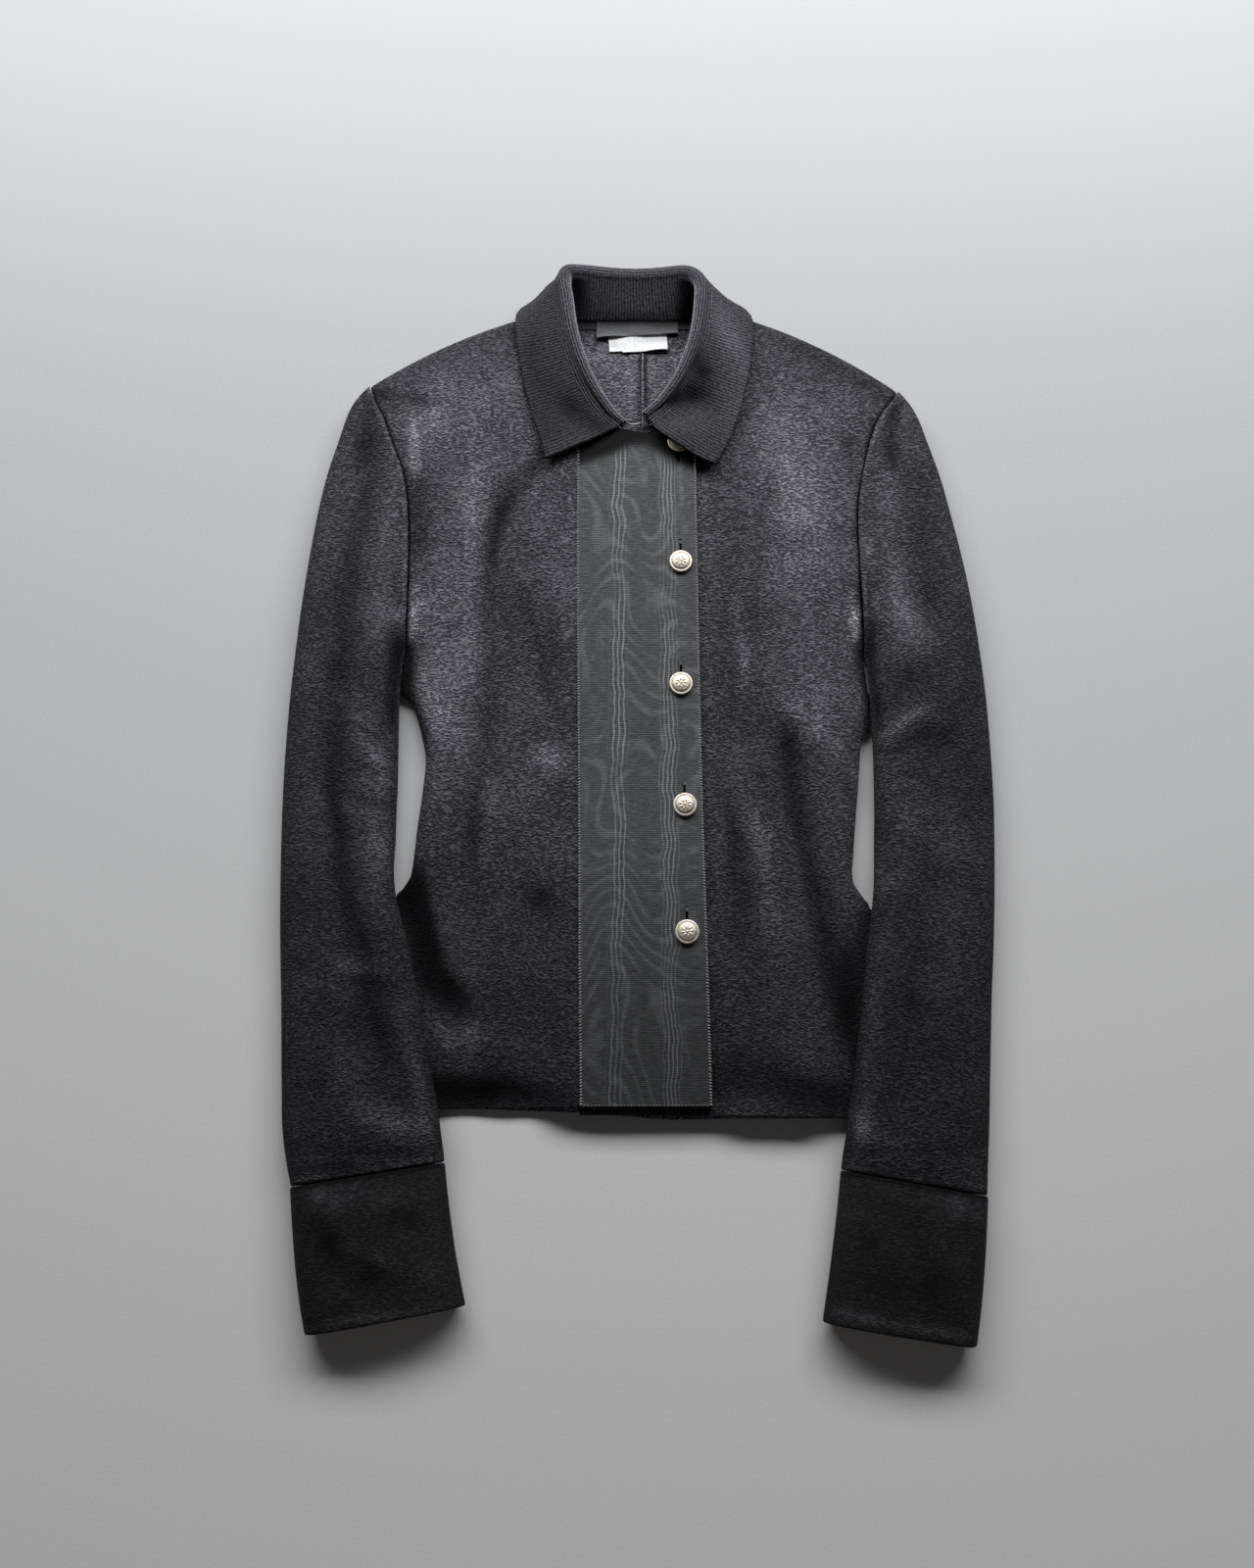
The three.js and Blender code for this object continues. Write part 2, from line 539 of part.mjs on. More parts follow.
// Underside of a sleeve: on the surface, or on the front where it lies over the hip
function restHeight(x, y) {
  const edge = Math.abs(outerX(x, clamp(y, HEM_REST_Y, ARMHOLE_FOOT_Y)));
  const inside = smooth(-15, -2.5, edge - Math.abs(x));
  const aboveHem = smooth(HEM_REST_Y - 25, HEM_REST_Y - 3, y);
  const belowWaist = smooth(-38, -74, y);
  return (openHeight(x, Math.max(y, HEM_REST_Y)) + SLEEVE_AIR) * inside * aboveHem * belowWaist;
}

function sleeveGrids(rows, armhole, stepsAlong, thickness) {
  const first = rows[0];
  const lastArmhole = armhole.length - 1;
  const outward = Math.sign(first.outerX);
  const place = (row, t) => {
    let x = mix(row.outerX, row.innerX, t);
    let y = mix(row.outerY, row.innerY, t);
    if (row.bow > 0.001) {
      const hole = between(armhole, lastArmhole * clamp(1 - t, 0, 1));
      x += row.bow * (hole.x + outward * SEAM_GAP - mix(first.outerX, first.innerX, t));
      y += row.bow * (hole.y - mix(first.outerY, first.innerY, t));
    }
    return { x, y };
  };
  const outer = [];
  const inner = [];
  for (const at of stepsAlong) {
    const row = between(rows, at);
    const width = Math.hypot(row.outerX - row.innerX, row.outerY - row.innerY) * (1 + 0.06 * row.bow);
    const ring = SLEEVE_SECTION.map((section, i) => {
      const { x, y } = place(row, section.across);
      const rest = restHeight(x, y);
      const isTop = i > 0 && i < SECTION_TOP_LAST;
      const crease = isTop ? folds(SLEEVE_FOLDS, x, y) * smooth(0, 0.4, 1 - row.bow) : 0;
      const pressed = mix(1, 0.82, smooth(1, 8, rest));
      let z = rest + row.height * pressed * section.up + crease;
      if (section.up > 0.3) {
        z = mix(z, frontTop(x, y) + CAP_RIDGE, smooth(0, 1, row.bow));
      }
      return new THREE.Vector2(section.across * width, z);
    });
    outer.push(ring.map((point, i) => {
      const { x, y } = place(row, SLEEVE_SECTION[i].across);
      return new THREE.Vector3(x, y, point.y);
    }));
    inner.push(ring.map((point, i) => {
      const before = ring[(i + ring.length - 1) % ring.length];
      const after = ring[(i + 1) % ring.length];
      const along = new THREE.Vector2().subVectors(after, before).normalize();
      const across = (point.x + along.y * thickness) / width;
      const { x, y } = place(row, across);
      return new THREE.Vector3(x, y, point.y - along.x * thickness);
    }));
  }
  return [outer, inner];
}

const SLEEVE_STEPS = steps(0, SLEEVE_RIGHT_ROWS.length - 1, 25);
const CUFF_STEPS = steps(0, CUFF_RIGHT_ROWS.length - 1, 6);

// Collar: a wall through its middle line, sewn edge, stand, fold and fall
const STAND_PARTS = [0, 0.1, 0.36, 0.62, 0.86];
const FOLD_ANGLES = [20, 62, 100, 140];
const FALL_PARTS = [0.16, 0.36, 0.58, 0.8, 1];

function collarSection(row) {
  const fold = new THREE.Vector3(row.foldX, row.foldY, row.foldZ);
  const seam = new THREE.Vector3(row.neckX, row.neckY, row.neckZ);
  const inward = new THREE.Vector3(fold.x - seam.x, fold.y - seam.y, 0).normalize();
  const neck = seam.clone().addScaledVector(inward, NECK_GAP);
  const edge = new THREE.Vector3(row.edgeX, row.edgeY, 0);
  const out = new THREE.Vector3(edge.x - fold.x, edge.y - fold.y, 0).normalize();
  const up = new THREE.Vector3(0, 0, 1);
  const centre = fold.clone().addScaledVector(up, -row.radius);
  const standTop = centre.clone().addScaledVector(out, -row.radius);
  const points = STAND_PARTS.map((t) => {
    const point = neck.clone().lerp(standTop, t);
    const level = mix(neck.z, standTop.z, smooth(0, 1, t) * 0.35 + t * t * 0.65);
    point.z = level;
    return point;
  });
  for (const degrees of FOLD_ANGLES) {
    const angle = (degrees * Math.PI) / 180;
    const point = centre.clone().addScaledVector(out, -row.radius * Math.cos(angle));
    points.push(point.addScaledVector(up, row.radius * Math.sin(angle)));
  }
  const start = centre.clone().addScaledVector(out, row.radius);
  const swingSide = row.neckX < 0 ? 1 : -1;
  for (const t of FALL_PARTS) {
    const point = start.clone().lerp(edge, t);
    point.x -= out.y * row.swing * swingSide * 4 * t * (1 - t);
    point.y += out.x * row.swing * swingSide * 4 * t * (1 - t);
    const rest = layersTop(point.x, point.y) + COLLAR_CLOTH / 2 + COLLAR_AIR + row.lift * t;
    point.z = mix(rest, Math.max(start.z, rest), (1 - t) ** 1.5);
    points.push(point);
  }
  return points;
}

function collarGrids() {
  const middle = steps(0, COLLAR_ROWS.length - 1, 33).map((at) => collarSection(between(COLLAR_ROWS, at)));
  const moved = (side) => middle.map((row, r) => row.map((point, c) => {
    const away = squareTo(middle, r, c, false, side).multiplyScalar(COLLAR_CLOTH / 2);
    const result = point.clone().add(away);
    result.z = Math.max(result.z, 0.05);
    return result;
  }));
  return [moved(1), moved(-1)];
}

// Buttons: a domed head on a shank that goes down through its slit
function buttonGeometry(standsOn, shankFoot) {
  const drop = standsOn - shankFoot;
  const profile = [
    [0, -drop], [SHANK_RADIUS, -drop], [SHANK_RADIUS, 0.9], [5.6, 1], [7.5, 1.35], [BUTTON_RADIUS, 2.1],
    [7.8, 2.8], [7.1, 3.15], [6.4, 3], [5.9, 3.3], [4.4, 4.5], [2.3, 5.2], [0, BUTTON_HEIGHT],
  ];
  const points = profile.map(([radius, height]) => new THREE.Vector2(radius, height));
  const geometry = new THREE.LatheGeometry(points, 16);
  geometry.rotateX(Math.PI / 2);
  return geometry;
}

// Booleans
const wasm = await Module();
wasm.setup();

function toManifold(geometry) {
  const bare = geometry.clone();
  bare.deleteAttribute('normal');
  bare.deleteAttribute('uv');
  const merged = mergeVertices(bare, 1e-4);
  return new wasm.Manifold(new wasm.Mesh({
    numProp: 3,
    vertProperties: new Float32Array(merged.attributes.position.array),
    triVerts: new Uint32Array(merged.index.array),
  }));
}

function fromManifold(solid) {
  const mesh = solid.getMesh();
  const geometry = new THREE.BufferGeometry();
  geometry.setAttribute('position', new THREE.Float32BufferAttribute(mesh.vertProperties, 3));
  geometry.setIndex(Array.from(mesh.triVerts));
  geometry.computeVertexNormals();
  return geometry;
}

function slitCutter(button) {
  const half = SLIT_WIDTH / 2;
  const top = button.y + button.slitAbove + SLIT_LENGTH / 2;
  const bottom = top - SLIT_LENGTH;
  const corners = [
    [-half, bottom + half], [-half * 0.6, bottom], [half * 0.6, bottom], [half, bottom + half],
    [half, top - half], [half * 0.6, top], [-half * 0.6, top], [-half, top - half],
  ];
  const outline = new THREE.Shape(corners.map(([x, y]) => new THREE.Vector2(button.x + x, y)));
  const geometry = new THREE.ExtrudeGeometry(outline, { depth: SLIT_DEPTH, bevelEnabled: false });
  geometry.translate(0, 0, frontTop(button.x, button.y) + LAYER_GAP * 0.3);
  return geometry;
}

function withSlits(geometry) {
  let solid = toManifold(geometry);
  for (const button of BUTTONS) {
    solid = solid.subtract(toManifold(slitCutter(button)));
  }
  return fromManifold(solid);
}

// Materials
const material = (color, roughness, metalness) => (
  new THREE.MeshStandardMaterial({ color, roughness, metalness })
);
const wool = material('#38383b', 0.95, 0);
const sleeveWool = material('#333336', 0.95, 0);
const cuffWool = material('#232325', 0.95, 0);
const collarKnit = material('#3f4045', 0.93, 0);
const ribbon = material('#4d4f4d', 0.62, 0);
const silver = material('#d2c8b8', 0.32, 1);
const blackTape = material('#1b1b1d', 0.7, 0);
const whiteTape = material('#d9d8d4', 0.75, 0);

const group = new THREE.Group();
group.name = 'jacket';

function add(name, geometry, look) {
  const mesh = new THREE.Mesh(geometry, look);
  mesh.name = name;
  group.add(mesh);
  return mesh;
}

function box(width, depth, height, x, y, z) {
  const geometry = new THREE.BoxGeometry(width, depth, height);
  geometry.translate(x, y, z + height / 2);
  return geometry;
}

add('back_right', backHalf(-1), wool);
add('back_left', backHalf(1), wool);
add('front_right', withSlits(wall(frontRightGrid, CLOTH, false, 1, panelFloor)), wool);
add('front_left', wall(frontLeftGrid, CLOTH, false, -1, panelFloor), wool);
add('front_band', withSlits(wallBetween(ribbonGrid(GAP + RIBBON), ribbonGrid(GAP), false)), ribbon);
const tube = (rows, armhole, stepsAlong, thickness) => {
  const [outer, inner] = sleeveGrids(rows, armhole, stepsAlong, thickness);
  return wallBetween(outer, inner, true);
};
add('sleeve_right', tube(SLEEVE_RIGHT_ROWS, ARMHOLE_RIGHT, SLEEVE_STEPS, CLOTH), sleeveWool);
add('sleeve_left', tube(SLEEVE_LEFT_ROWS, ARMHOLE_LEFT, SLEEVE_STEPS, CLOTH), sleeveWool);
add('cuff_right', tube(CUFF_RIGHT_ROWS, ARMHOLE_RIGHT, CUFF_STEPS, CUFF_CLOTH), cuffWool);
add('cuff_left', tube(CUFF_LEFT_ROWS, ARMHOLE_LEFT, CUFF_STEPS, CUFF_CLOTH), cuffWool);
const [collarOuter, collarInner] = collarGrids();
add('collar', wallBetween(collarOuter, collarInner, false), collarKnit);

BUTTONS.forEach((button, i) => {
  const standsOn = ribbonTopZ(button.x, button.y) - BUTTON_SINK;
  const shankFoot = frontTop(button.x, button.y) + GAP;
  const mesh = add(`button_${i + 1}`, buttonGeometry(standsOn, shankFoot), silver);
  mesh.position.set(button.x, button.y, standsOn);
});

for (const [name, look] of [['neck_tape', blackTape], ['care_label', whiteTape], ['label', blackTape]]) {
  const strip = STRIPS[name];
  add(name, box(strip.width, strip.depth, strip.thickness, strip.x, strip.y, strip.z), look);
}

// Origin at the middle of the underside of the whole
const bounds = new THREE.Box3().setFromObject(group);
const middle = bounds.getCenter(new THREE.Vector3());
group.position.set(-middle.x, -middle.y, -bounds.min.z);
group.updateMatrixWorld(true);

export default group;
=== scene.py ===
# Looks of a short knitted-wool jacket laid out face up, in metres, +Z up.
# Left and right are the wearer's, so the right front lies on the -X side.
import math
import bmesh
import bpy
import numpy as np
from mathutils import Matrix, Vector


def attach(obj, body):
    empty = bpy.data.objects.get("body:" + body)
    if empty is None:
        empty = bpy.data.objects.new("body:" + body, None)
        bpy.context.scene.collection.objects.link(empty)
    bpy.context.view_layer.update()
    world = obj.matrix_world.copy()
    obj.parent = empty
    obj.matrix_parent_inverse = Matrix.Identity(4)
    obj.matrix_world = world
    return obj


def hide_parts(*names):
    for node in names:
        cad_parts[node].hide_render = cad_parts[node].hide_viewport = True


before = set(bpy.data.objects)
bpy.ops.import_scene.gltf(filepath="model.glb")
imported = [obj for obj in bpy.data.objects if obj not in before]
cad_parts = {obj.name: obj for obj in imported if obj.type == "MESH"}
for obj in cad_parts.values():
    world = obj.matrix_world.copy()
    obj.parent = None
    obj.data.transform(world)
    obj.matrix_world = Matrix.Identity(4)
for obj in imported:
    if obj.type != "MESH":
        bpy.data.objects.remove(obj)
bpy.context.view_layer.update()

# Sizes in millimetres. In the tables x runs from the neck's middle and y from a line across the body;
# SHIFT carries both to the frame's own origin.
SHIFT = np.array([-0.802, -15.286, 0.0])
CLOTH = 2.2
GAP = 0.35
SEAM_GAP = 0.5
LAYER_GAP = 0.7
SHOULDER_ROLL = 34
SIDE_ROLL = 11
ARMHOLE_ROLL = 46
HALF_WIDTH = 168
SHOULDER_BOW = 6.5
SHOULDER_SLOPE = 0.46
SEAM_TOP_Z = 4.3
RIBBON = 0.9
RIBBON_INSET = 0.6
OVERLAP_RAMP = (-80, -46)
CAP_RIDGE = 0.9
COLLAR_CLOTH = 2.6
COLLAR_AIR = 0.7
NECK_GAP = 1.1
BACK_SEAM_X = 5
NECK_FRONT_ROWS = slice(13, 20)
CUFF_CLOTH = 3.4
BUTTON_HEIGHT = 5.4
BUTTON_SINK = 0.6
RELIEF_FROM = 2.9
TURN_BETWEEN_BUTTONS = 0.35
SLIT_LENGTH = 19
SLIT_WIDTH = 1.5
SLIT_REACH = 2.4
EDGE_THINNING = 0.46
PANEL_FLOOR = CLOTH + GAP
COLLAR_CREST = 24
COLLAR_MEASURED_AT = 40
CUFF_EDGE_RADIUS = 1.7
SLEEVE_ROW_STEP = 15
CUFF_ROW_STEP = 22
# Small hollows and ridges along the seams: depth or height, width, and distance from the seam
ARMHOLE_GROOVE = (1.3, 2.2)
ARMHOLE_LIP = (1.5, 1.6, 2.3)
CUFF_LIP = (0.9, 1.6, 2.6)
# Soft lumps of the cloth: height, size and seed
FRONT_LUMPS = ((0.35, 46, 11), (0.12, 13, 12))
SLEEVE_LUMPS = ((0.4, 44, 31), (0.13, 12, 32))
RIBBON_LUMPS = ((0.16, 40, 21), (0.06, 9, 22))
# Crease lines wander by this much, in lumps of this size
CREASE_WANDER = 1.6
WANDER_SIZE = 60
FAR = 1e9

# Finishes: knit pitches, and the middle, half width and pitch of the watered lines, in metres
RIB_PITCH = 0.0021
STITCH_ROW_PITCH = 0.0023
WATERED_LINES = ((-0.0135, 0.0075, 0.0033), (0.0205, 0.0072, 0.0027))
WOOL_SPECULAR = 0.1
WOOL_TINT = (0.86, 0.88, 1, 1)

# Tones of painted light and shade: how much lighter or darker the cloth is painted, where 1 is nine times as
# light
SHOULDER_TONE = -0.2
ARMHOLE_TONE = -0.55
BACK_TONE = 0.26
BACK_SEAM_TONE = -0.75
SLEEVE_TONE = 0.06
SLEEVE_END_TONE = -0.8
LIP_TONE = 0.26
CUFF_TOP_TONE = -1.1
STAND_TONE = 0.95
HOLLOW_TONE = -1.1
FOLD_TONE = 0.1
FALL_TONE = -0.16
CREST_TONE = 0.16
RIBBON_HEM_TONE = -0.24
RIDGE_TONE = 0.4


def table(names, *rows):
    data = np.array(rows, float)
    return {name: data[:, i] for i, name in enumerate(names.split())}


BODY_EDGE = {
    -1: table(
        "x y", (-176, -221), (-171.5, -185), (-167.8, -150), (-164.5, -112), (-160.5, -80), (-151, -64),
        (-147.6, -32), (-144.5, -3), (-143.6, 16), (-147.2, 34), (-151.5, 48), (-156, 57), (-161.7, 63),
        (-161.8, 77), (-159.8, 92),
    ),
    1: table(
        "x y", (176, -221), (171, -185), (166.5, -150), (161, -112), (154.8, -86), (144, -68), (144.6, -52),
        (147.4, -24), (150.4, 3), (152.8, 27), (158.4, 38), (159.1, 50), (158.7, 68), (156.8, 88),
    ),
}
ARMHOLE = {
    -1: table(
        "x y", (-159.6, 92), (-158.9, 121), (-159.1, 165), (-160.3, 193), (-162.6, 212), (-166.3, 228),
        (-171, 240), (-175.8, 253), (-180.8, 267), (-187.6, 281), (-193.5, 295),
    ),
    1: table(
        "x y", (156.8, 88), (156.2, 124), (155, 160), (155.2, 190), (157.3, 210), (161, 228), (165, 244),
        (169.6, 258), (175.6, 270), (182.8, 280), (189.5, 291),
    ),
}
# Shoulder seam: neck end and tip
SHOULDER = {-1: ((-64, 356.5), (-193.5, 295)), 1: ((64, 356), (189.5, 291))}

# Rows of each front from hem to shoulder: front edge or neckline, and y of the outer end
FRONT_ROWS = {
    -1: table(
        "x y outerY", (48.2, -214.5, -215), (47.4, -180, -183), (46.6, -140, -144), (45.9, -100, -108),
        (45.2, -68, -81), (44.6, -40, -63), (43.9, 0, -30), (43.4, 42, 6), (43, 83, 36), (42.8, 125, 66),
        (42.6, 162, 92), (42.5, 195, 116), (42.4, 222, 138), (42.3, 247, 160), (22, 250, 176), (0, 253, 192),
        (-12, 255.6, 205), (-22, 261.3, 217), (-34, 272, 230), (-46.5, 291.5, 246), (-56, 315, 263),
        (-61.5, 336, 279), (-64, 356.5, 295),
    ),
    1: table(
        "x y outerY", (-37, -219, -221), (-37.3, -182, -186), (-37.6, -142, -148), (-38, -104, -112),
        (-38.3, -72, -86), (-38.6, -46, -68), (-38.9, -8, -38), (-39.1, 38, 0), (-39.3, 82, 34),
        (-39.5, 122, 62), (-39.7, 160, 88), (-39.8, 194, 112), (-39.9, 222, 136), (-40, 248, 160),
        (-20, 252, 175), (0, 257.5, 190), (12, 260.2, 202), (22, 264.6, 214), (34, 274, 228),
        (46.5, 292.5, 244), (56, 315, 260), (61.5, 336, 276), (64, 356, 291),
    ),
}
NECK_CORNER = (12, 14)
NECK_ROW = 16
HEIGHTS = table(
    "y side middle", (-225, 5.8, 8.4), (-150, 7.6, 14), (-60, 8.8, 16.5), (20, 10, 17), (110, 12, 18),
    (190, 13.5, 18), (250, 13.5, 16), (360, 10, 11),
)
FOLD_NAMES = "x1 y1 x2 y2 width height"
FRONT_FOLDS = table(
    FOLD_NAMES, (-104, 190, -102, 30, 11, -1.7), (-128, 215, -122, 70, 17, 1.6),
    (-70, 222, -98, 190, 16, -1.1), (-72, 112, -48, 30, 14, -1.1), (-150, -78, -110, -160, 15, -1.8),
    (-112, -172, -100, -196, 16, 1.3),
    (-122, -201, -66, -214, 9, -1.5), (-62, 8, -60, -8, 12, 1), (-66, -88, -64, -108, 12, -1.1),
    (98, 34, 128, -78, 14, -1.6), (128, -78, 140, -176, 14, -1.3), (52, -28, 74, -118, 15, -1.2),
    (96, 226, 124, 56, 20, 1.6), (74, 110, 74, 28, 13, -1), (110, -206, 134, -214, 12, -1.3),
)
SLEEVE_NAMES = "outerX outerY innerX innerY height bow"
SLEEVE_ROWS = {
    -1: table(
        SLEEVE_NAMES, (-194.2, 295, -160.2, 91.2, 14, 1), (-205.2, 275, -162, 83, 17, 0.82),
        (-212.5, 249, -162.4, 75, 19, 0.62), (-219.3, 225, -162.5, 66, 21, 0.42),
        (-224.8, 196, -162.5, 56, 22, 0.25), (-229, 163, -162.3, 44, 23, 0.1), (-232.6, 127, -162, 31, 23, 0),
        (-235.4, 90, -161.8, 16, 22, 0), (-237.4, 54, -161.4, -2, 21, 0), (-238.3, 19, -161.6, -20, 20, 0),
        (-238.2, -16, -161.4, -40, 20, 0), (-237.2, -51, -160.8, -62, 20, 0),
        (-235.8, -84, -157.4, -84, 20, 0), (-234, -114, -150, -109, 20, 0),
        (-231.8, -143, -142.6, -140, 20, 0), (-230, -171, -136.6, -168, 20, 0),
        (-228.2, -199, -131, -195, 20, 0), (-226.2, -226, -126.2, -218, 20, 0),
        (-222.4, -247, -123.8, -235, 21, 0), (-218.4, -262.5, -122.4, -247.6, 22, 0),
    ),
    1: table(
        SLEEVE_NAMES, (190.2, 291, 157.6, 87.2, 14, 1), (200.6, 270.5, 158.9, 79, 17, 0.82),
        (208.2, 246, 159.3, 71, 19, 0.62),
        (215.6, 222, 159.6, 62, 21, 0.42), (221.8, 194, 159.8, 51, 22, 0.25),
        (227.8, 162, 160, 39, 23, 0.1), (232.8, 128, 160.1, 26, 23, 0), (236.6, 92, 160, 11, 22, 0),
        (239, 56, 159.8, -5, 21, 0), (239.9, 20, 159.4, -22, 20, 0), (239.8, -14, 158.4, -41, 20, 0),
        (238.2, -50, 156.6, -61, 20, 0), (236, -84, 154, -84, 20, 0), (233.6, -114, 150, -111, 20, 0),
        (230.6, -144, 146, -142, 20, 0), (228.2, -173, 141.8, -170, 20, 0), (226, -201, 137.6, -198, 20, 0),
        (223.8, -228, 133.4, -222, 20, 0), (221.6, -250, 130.8, -239, 21, 0),
        (219.9, -268.2, 128.7, -252.4, 22, 0),
    ),
}
CUFF_ROWS = {
    -1: table(
        SLEEVE_NAMES, (-218.9, -263.1, -122.1, -248, 23.4, 0), (-216.4, -285, -119.4, -268, 24.2, 0),
        (-212.6, -312, -114.8, -296, 24.6, 0), (-208.6, -334, -110.4, -317, 24, 0),
        (-205, -350.5, -106.6, -333.3, 22.4, 0),
    ),
    1: table(
        SLEEVE_NAMES, (220.3, -268.7, 128.4, -252.7, 23.4, 0), (218, -291, 125.6, -274, 24.2, 0),
        (214.6, -318, 121, -303, 24.6, 0), (211, -341, 117, -326, 24, 0), (208, -357.5, 114, -343, 22.4, 0),
    ),
}
SLEEVE_FOLDS = table(
    FOLD_NAMES, (-182, 230, -199, 62, 13, -3), (-199, 62, -203, -38, 12, -3.2),
    (-203, -38, -182, -170, 14, -2.4),
    (-182, -170, -160, -212, 14, -1.8), (-172, 30, -190, -12, 8, -2), (-206, 12, -190, -34, 7, 1.3),
    (-232, -116, -160, -138, 12, -1.3), (-164, -222, -150, -236, 12, 1.6), (-214, 110, -218, -60, 12, 1.6),
    (178, 240, 196, 120, 14, -2.2), (196, 120, 206, 20, 13, -2.6), (206, 20, 196, -120, 14, -2),
    (186, 104, 198, 62, 12, 1.8), (184, 64, 206, 70, 7, -1.8), (212, 22, 228, 44, 8, -1.8),
    (196, -120, 172, -216, 14, -1.6), (220, -30, 170, -60, 11, -1.5), (166, -226, 182, -240, 12, 1.4),
)
# Cross section of a sleeve: how far across, and how high as a part of the height
SLEEVE_SECTION = table(
    "across up", (0, 0.36), (0.02, 0.6), (0.07, 0.8), (0.17, 0.94), (0.31, 1), (0.46, 1.01), (0.61, 1),
    (0.76, 0.95), (0.88, 0.84), (0.955, 0.66), (1, 0.38), (0.975, 0.13), (0.92, 0.02), (0.78, 0), (0.6, 0),
    (0.42, 0), (0.24, 0), (0.09, 0.015), (0.025, 0.13),
)
# Collar from the right front end round the back to the left front end
COLLAR_ROWS = table(
    "neckX neckY neckZ foldX foldY foldZ radius edgeX edgeY lift swing",
    (-10.5, 255.2, 17.6, -8.8, 257.2, 23, 1.9, -63.6, 229.6, 3.5, 2),
    (-20, 260, 16.6, -18.6, 266.5, 25.4, 2.3, -68.6, 247, 2, 1),
    (-34, 272, 14, -30.5, 284, 28.6, 2.7, -75.6, 270, 0.8, 0),
    (-46.5, 291.5, 12.4, -39, 302, 31.5, 3.1, -81.8, 296, 0, 0),
    (-55, 312, 11.6, -44.5, 319.5, 33.5, 3.4, -85.6, 320, 0, 0),
    (-60.5, 331, 10.4, -48, 336, 34.6, 3.7, -88.2, 341, 0, 0),
    (-63, 347, 7.4, -50, 350.5, 35.2, 4, -86.4, 356, 0, 0),
    (-61.6, 357.4, 2, -52, 363.4, 35.6, 4.2, -74, 370, 0, 0),
    (-52, 353.4, 1.6, -48.8, 371.6, 35.6, 4.2, -60, 384.5, 0, 0),
    (-40, 350.8, 1.6, -36, 371.6, 35.2, 4, -41, 387, 0, 0),
    (-20, 350, 1.6, -19, 370, 34.4, 4, -21, 386.5, 0, 0),
    (0, 350, 1.6, -1, 369.2, 34, 4, 0, 386, 0, 0),
    (20, 350, 1.6, 17, 370, 34.4, 4, 19, 386, 0, 0),
    (40, 350.8, 1.6, 32.5, 371.4, 35.2, 4, 38, 385.5, 0, 0),
    (52, 353.4, 1.6, 41, 369, 35.6, 4.2, 54, 378, 0, 0),
    (62, 356.2, 2, 46.6, 361.5, 35.6, 4.2, 71.5, 365, 0, 0),
    (63, 346, 7.4, 46.5, 350.5, 35.2, 4, 83.4, 351.5, 0, 0),
    (60.5, 331, 10.4, 45, 336.5, 34.6, 3.7, 85, 335, 0, 0),
    (55, 312.5, 11.6, 42, 321, 33.5, 3.4, 83.4, 316, 0, 0),
    (46.5, 292.5, 12.4, 36.5, 304.5, 32, 3.1, 80, 294, 0, 0),
    (34, 274, 13.4, 28.2, 287, 30, 2.7, 74, 270, 0.6, 1),
    (21, 264, 14, 16.4, 271.5, 27.6, 2.3, 65.4, 245, 1.5, 3.6),
    (8.6, 259.2, 14.8, 5.6, 262.4, 25.4, 2, 55, 224.6, 2.5, 5.6),
)
BUTTONS = table(
    "x y slitAbove", (29.8, 243.5, -7), (30.4, 152.2, 6.4), (29.8, 64.3, 6.4), (31.7, -19.3, 6.4),
    (32.4, -103.4, 6.4),
)
RIBBON_EDGES = table(
    "y left right", (-215, -36.6, 48.1), (-100, -38.2, 45.9), (0, -39.4, 43.9), (120, -41, 42.8),
    (250, -42, 42.3),
)
HEM_FRONT_RIGHT = table("x y", (-176, -215), (48.2, -214.5))
NECK_BACK = table("x y", (0, 349.6), (12, 349.6), (26, 349.8), (40, 350.4), (52, 353), (64, 356.4))
HEM_BACK = table(
    "x y", (-176, -215), (-128, -213), (-80, -216), (-30, -217.5), (0, -220.5), (22, -222), (60, -221.2),
    (176, -221),
)
ONTO_OVERLAP = ((-82, -50), (66, 48), (270, 250))
ONTO_RIBBON = ((-56, -42), (60, 45), (276, 256))
BUTTON_MOUND = BUTTON_HEIGHT + 0.9
BUTTON_MOUND_RADIUS = 15.5
HEM_REST_Y = -221
SLEEVE_AIR = 0.9
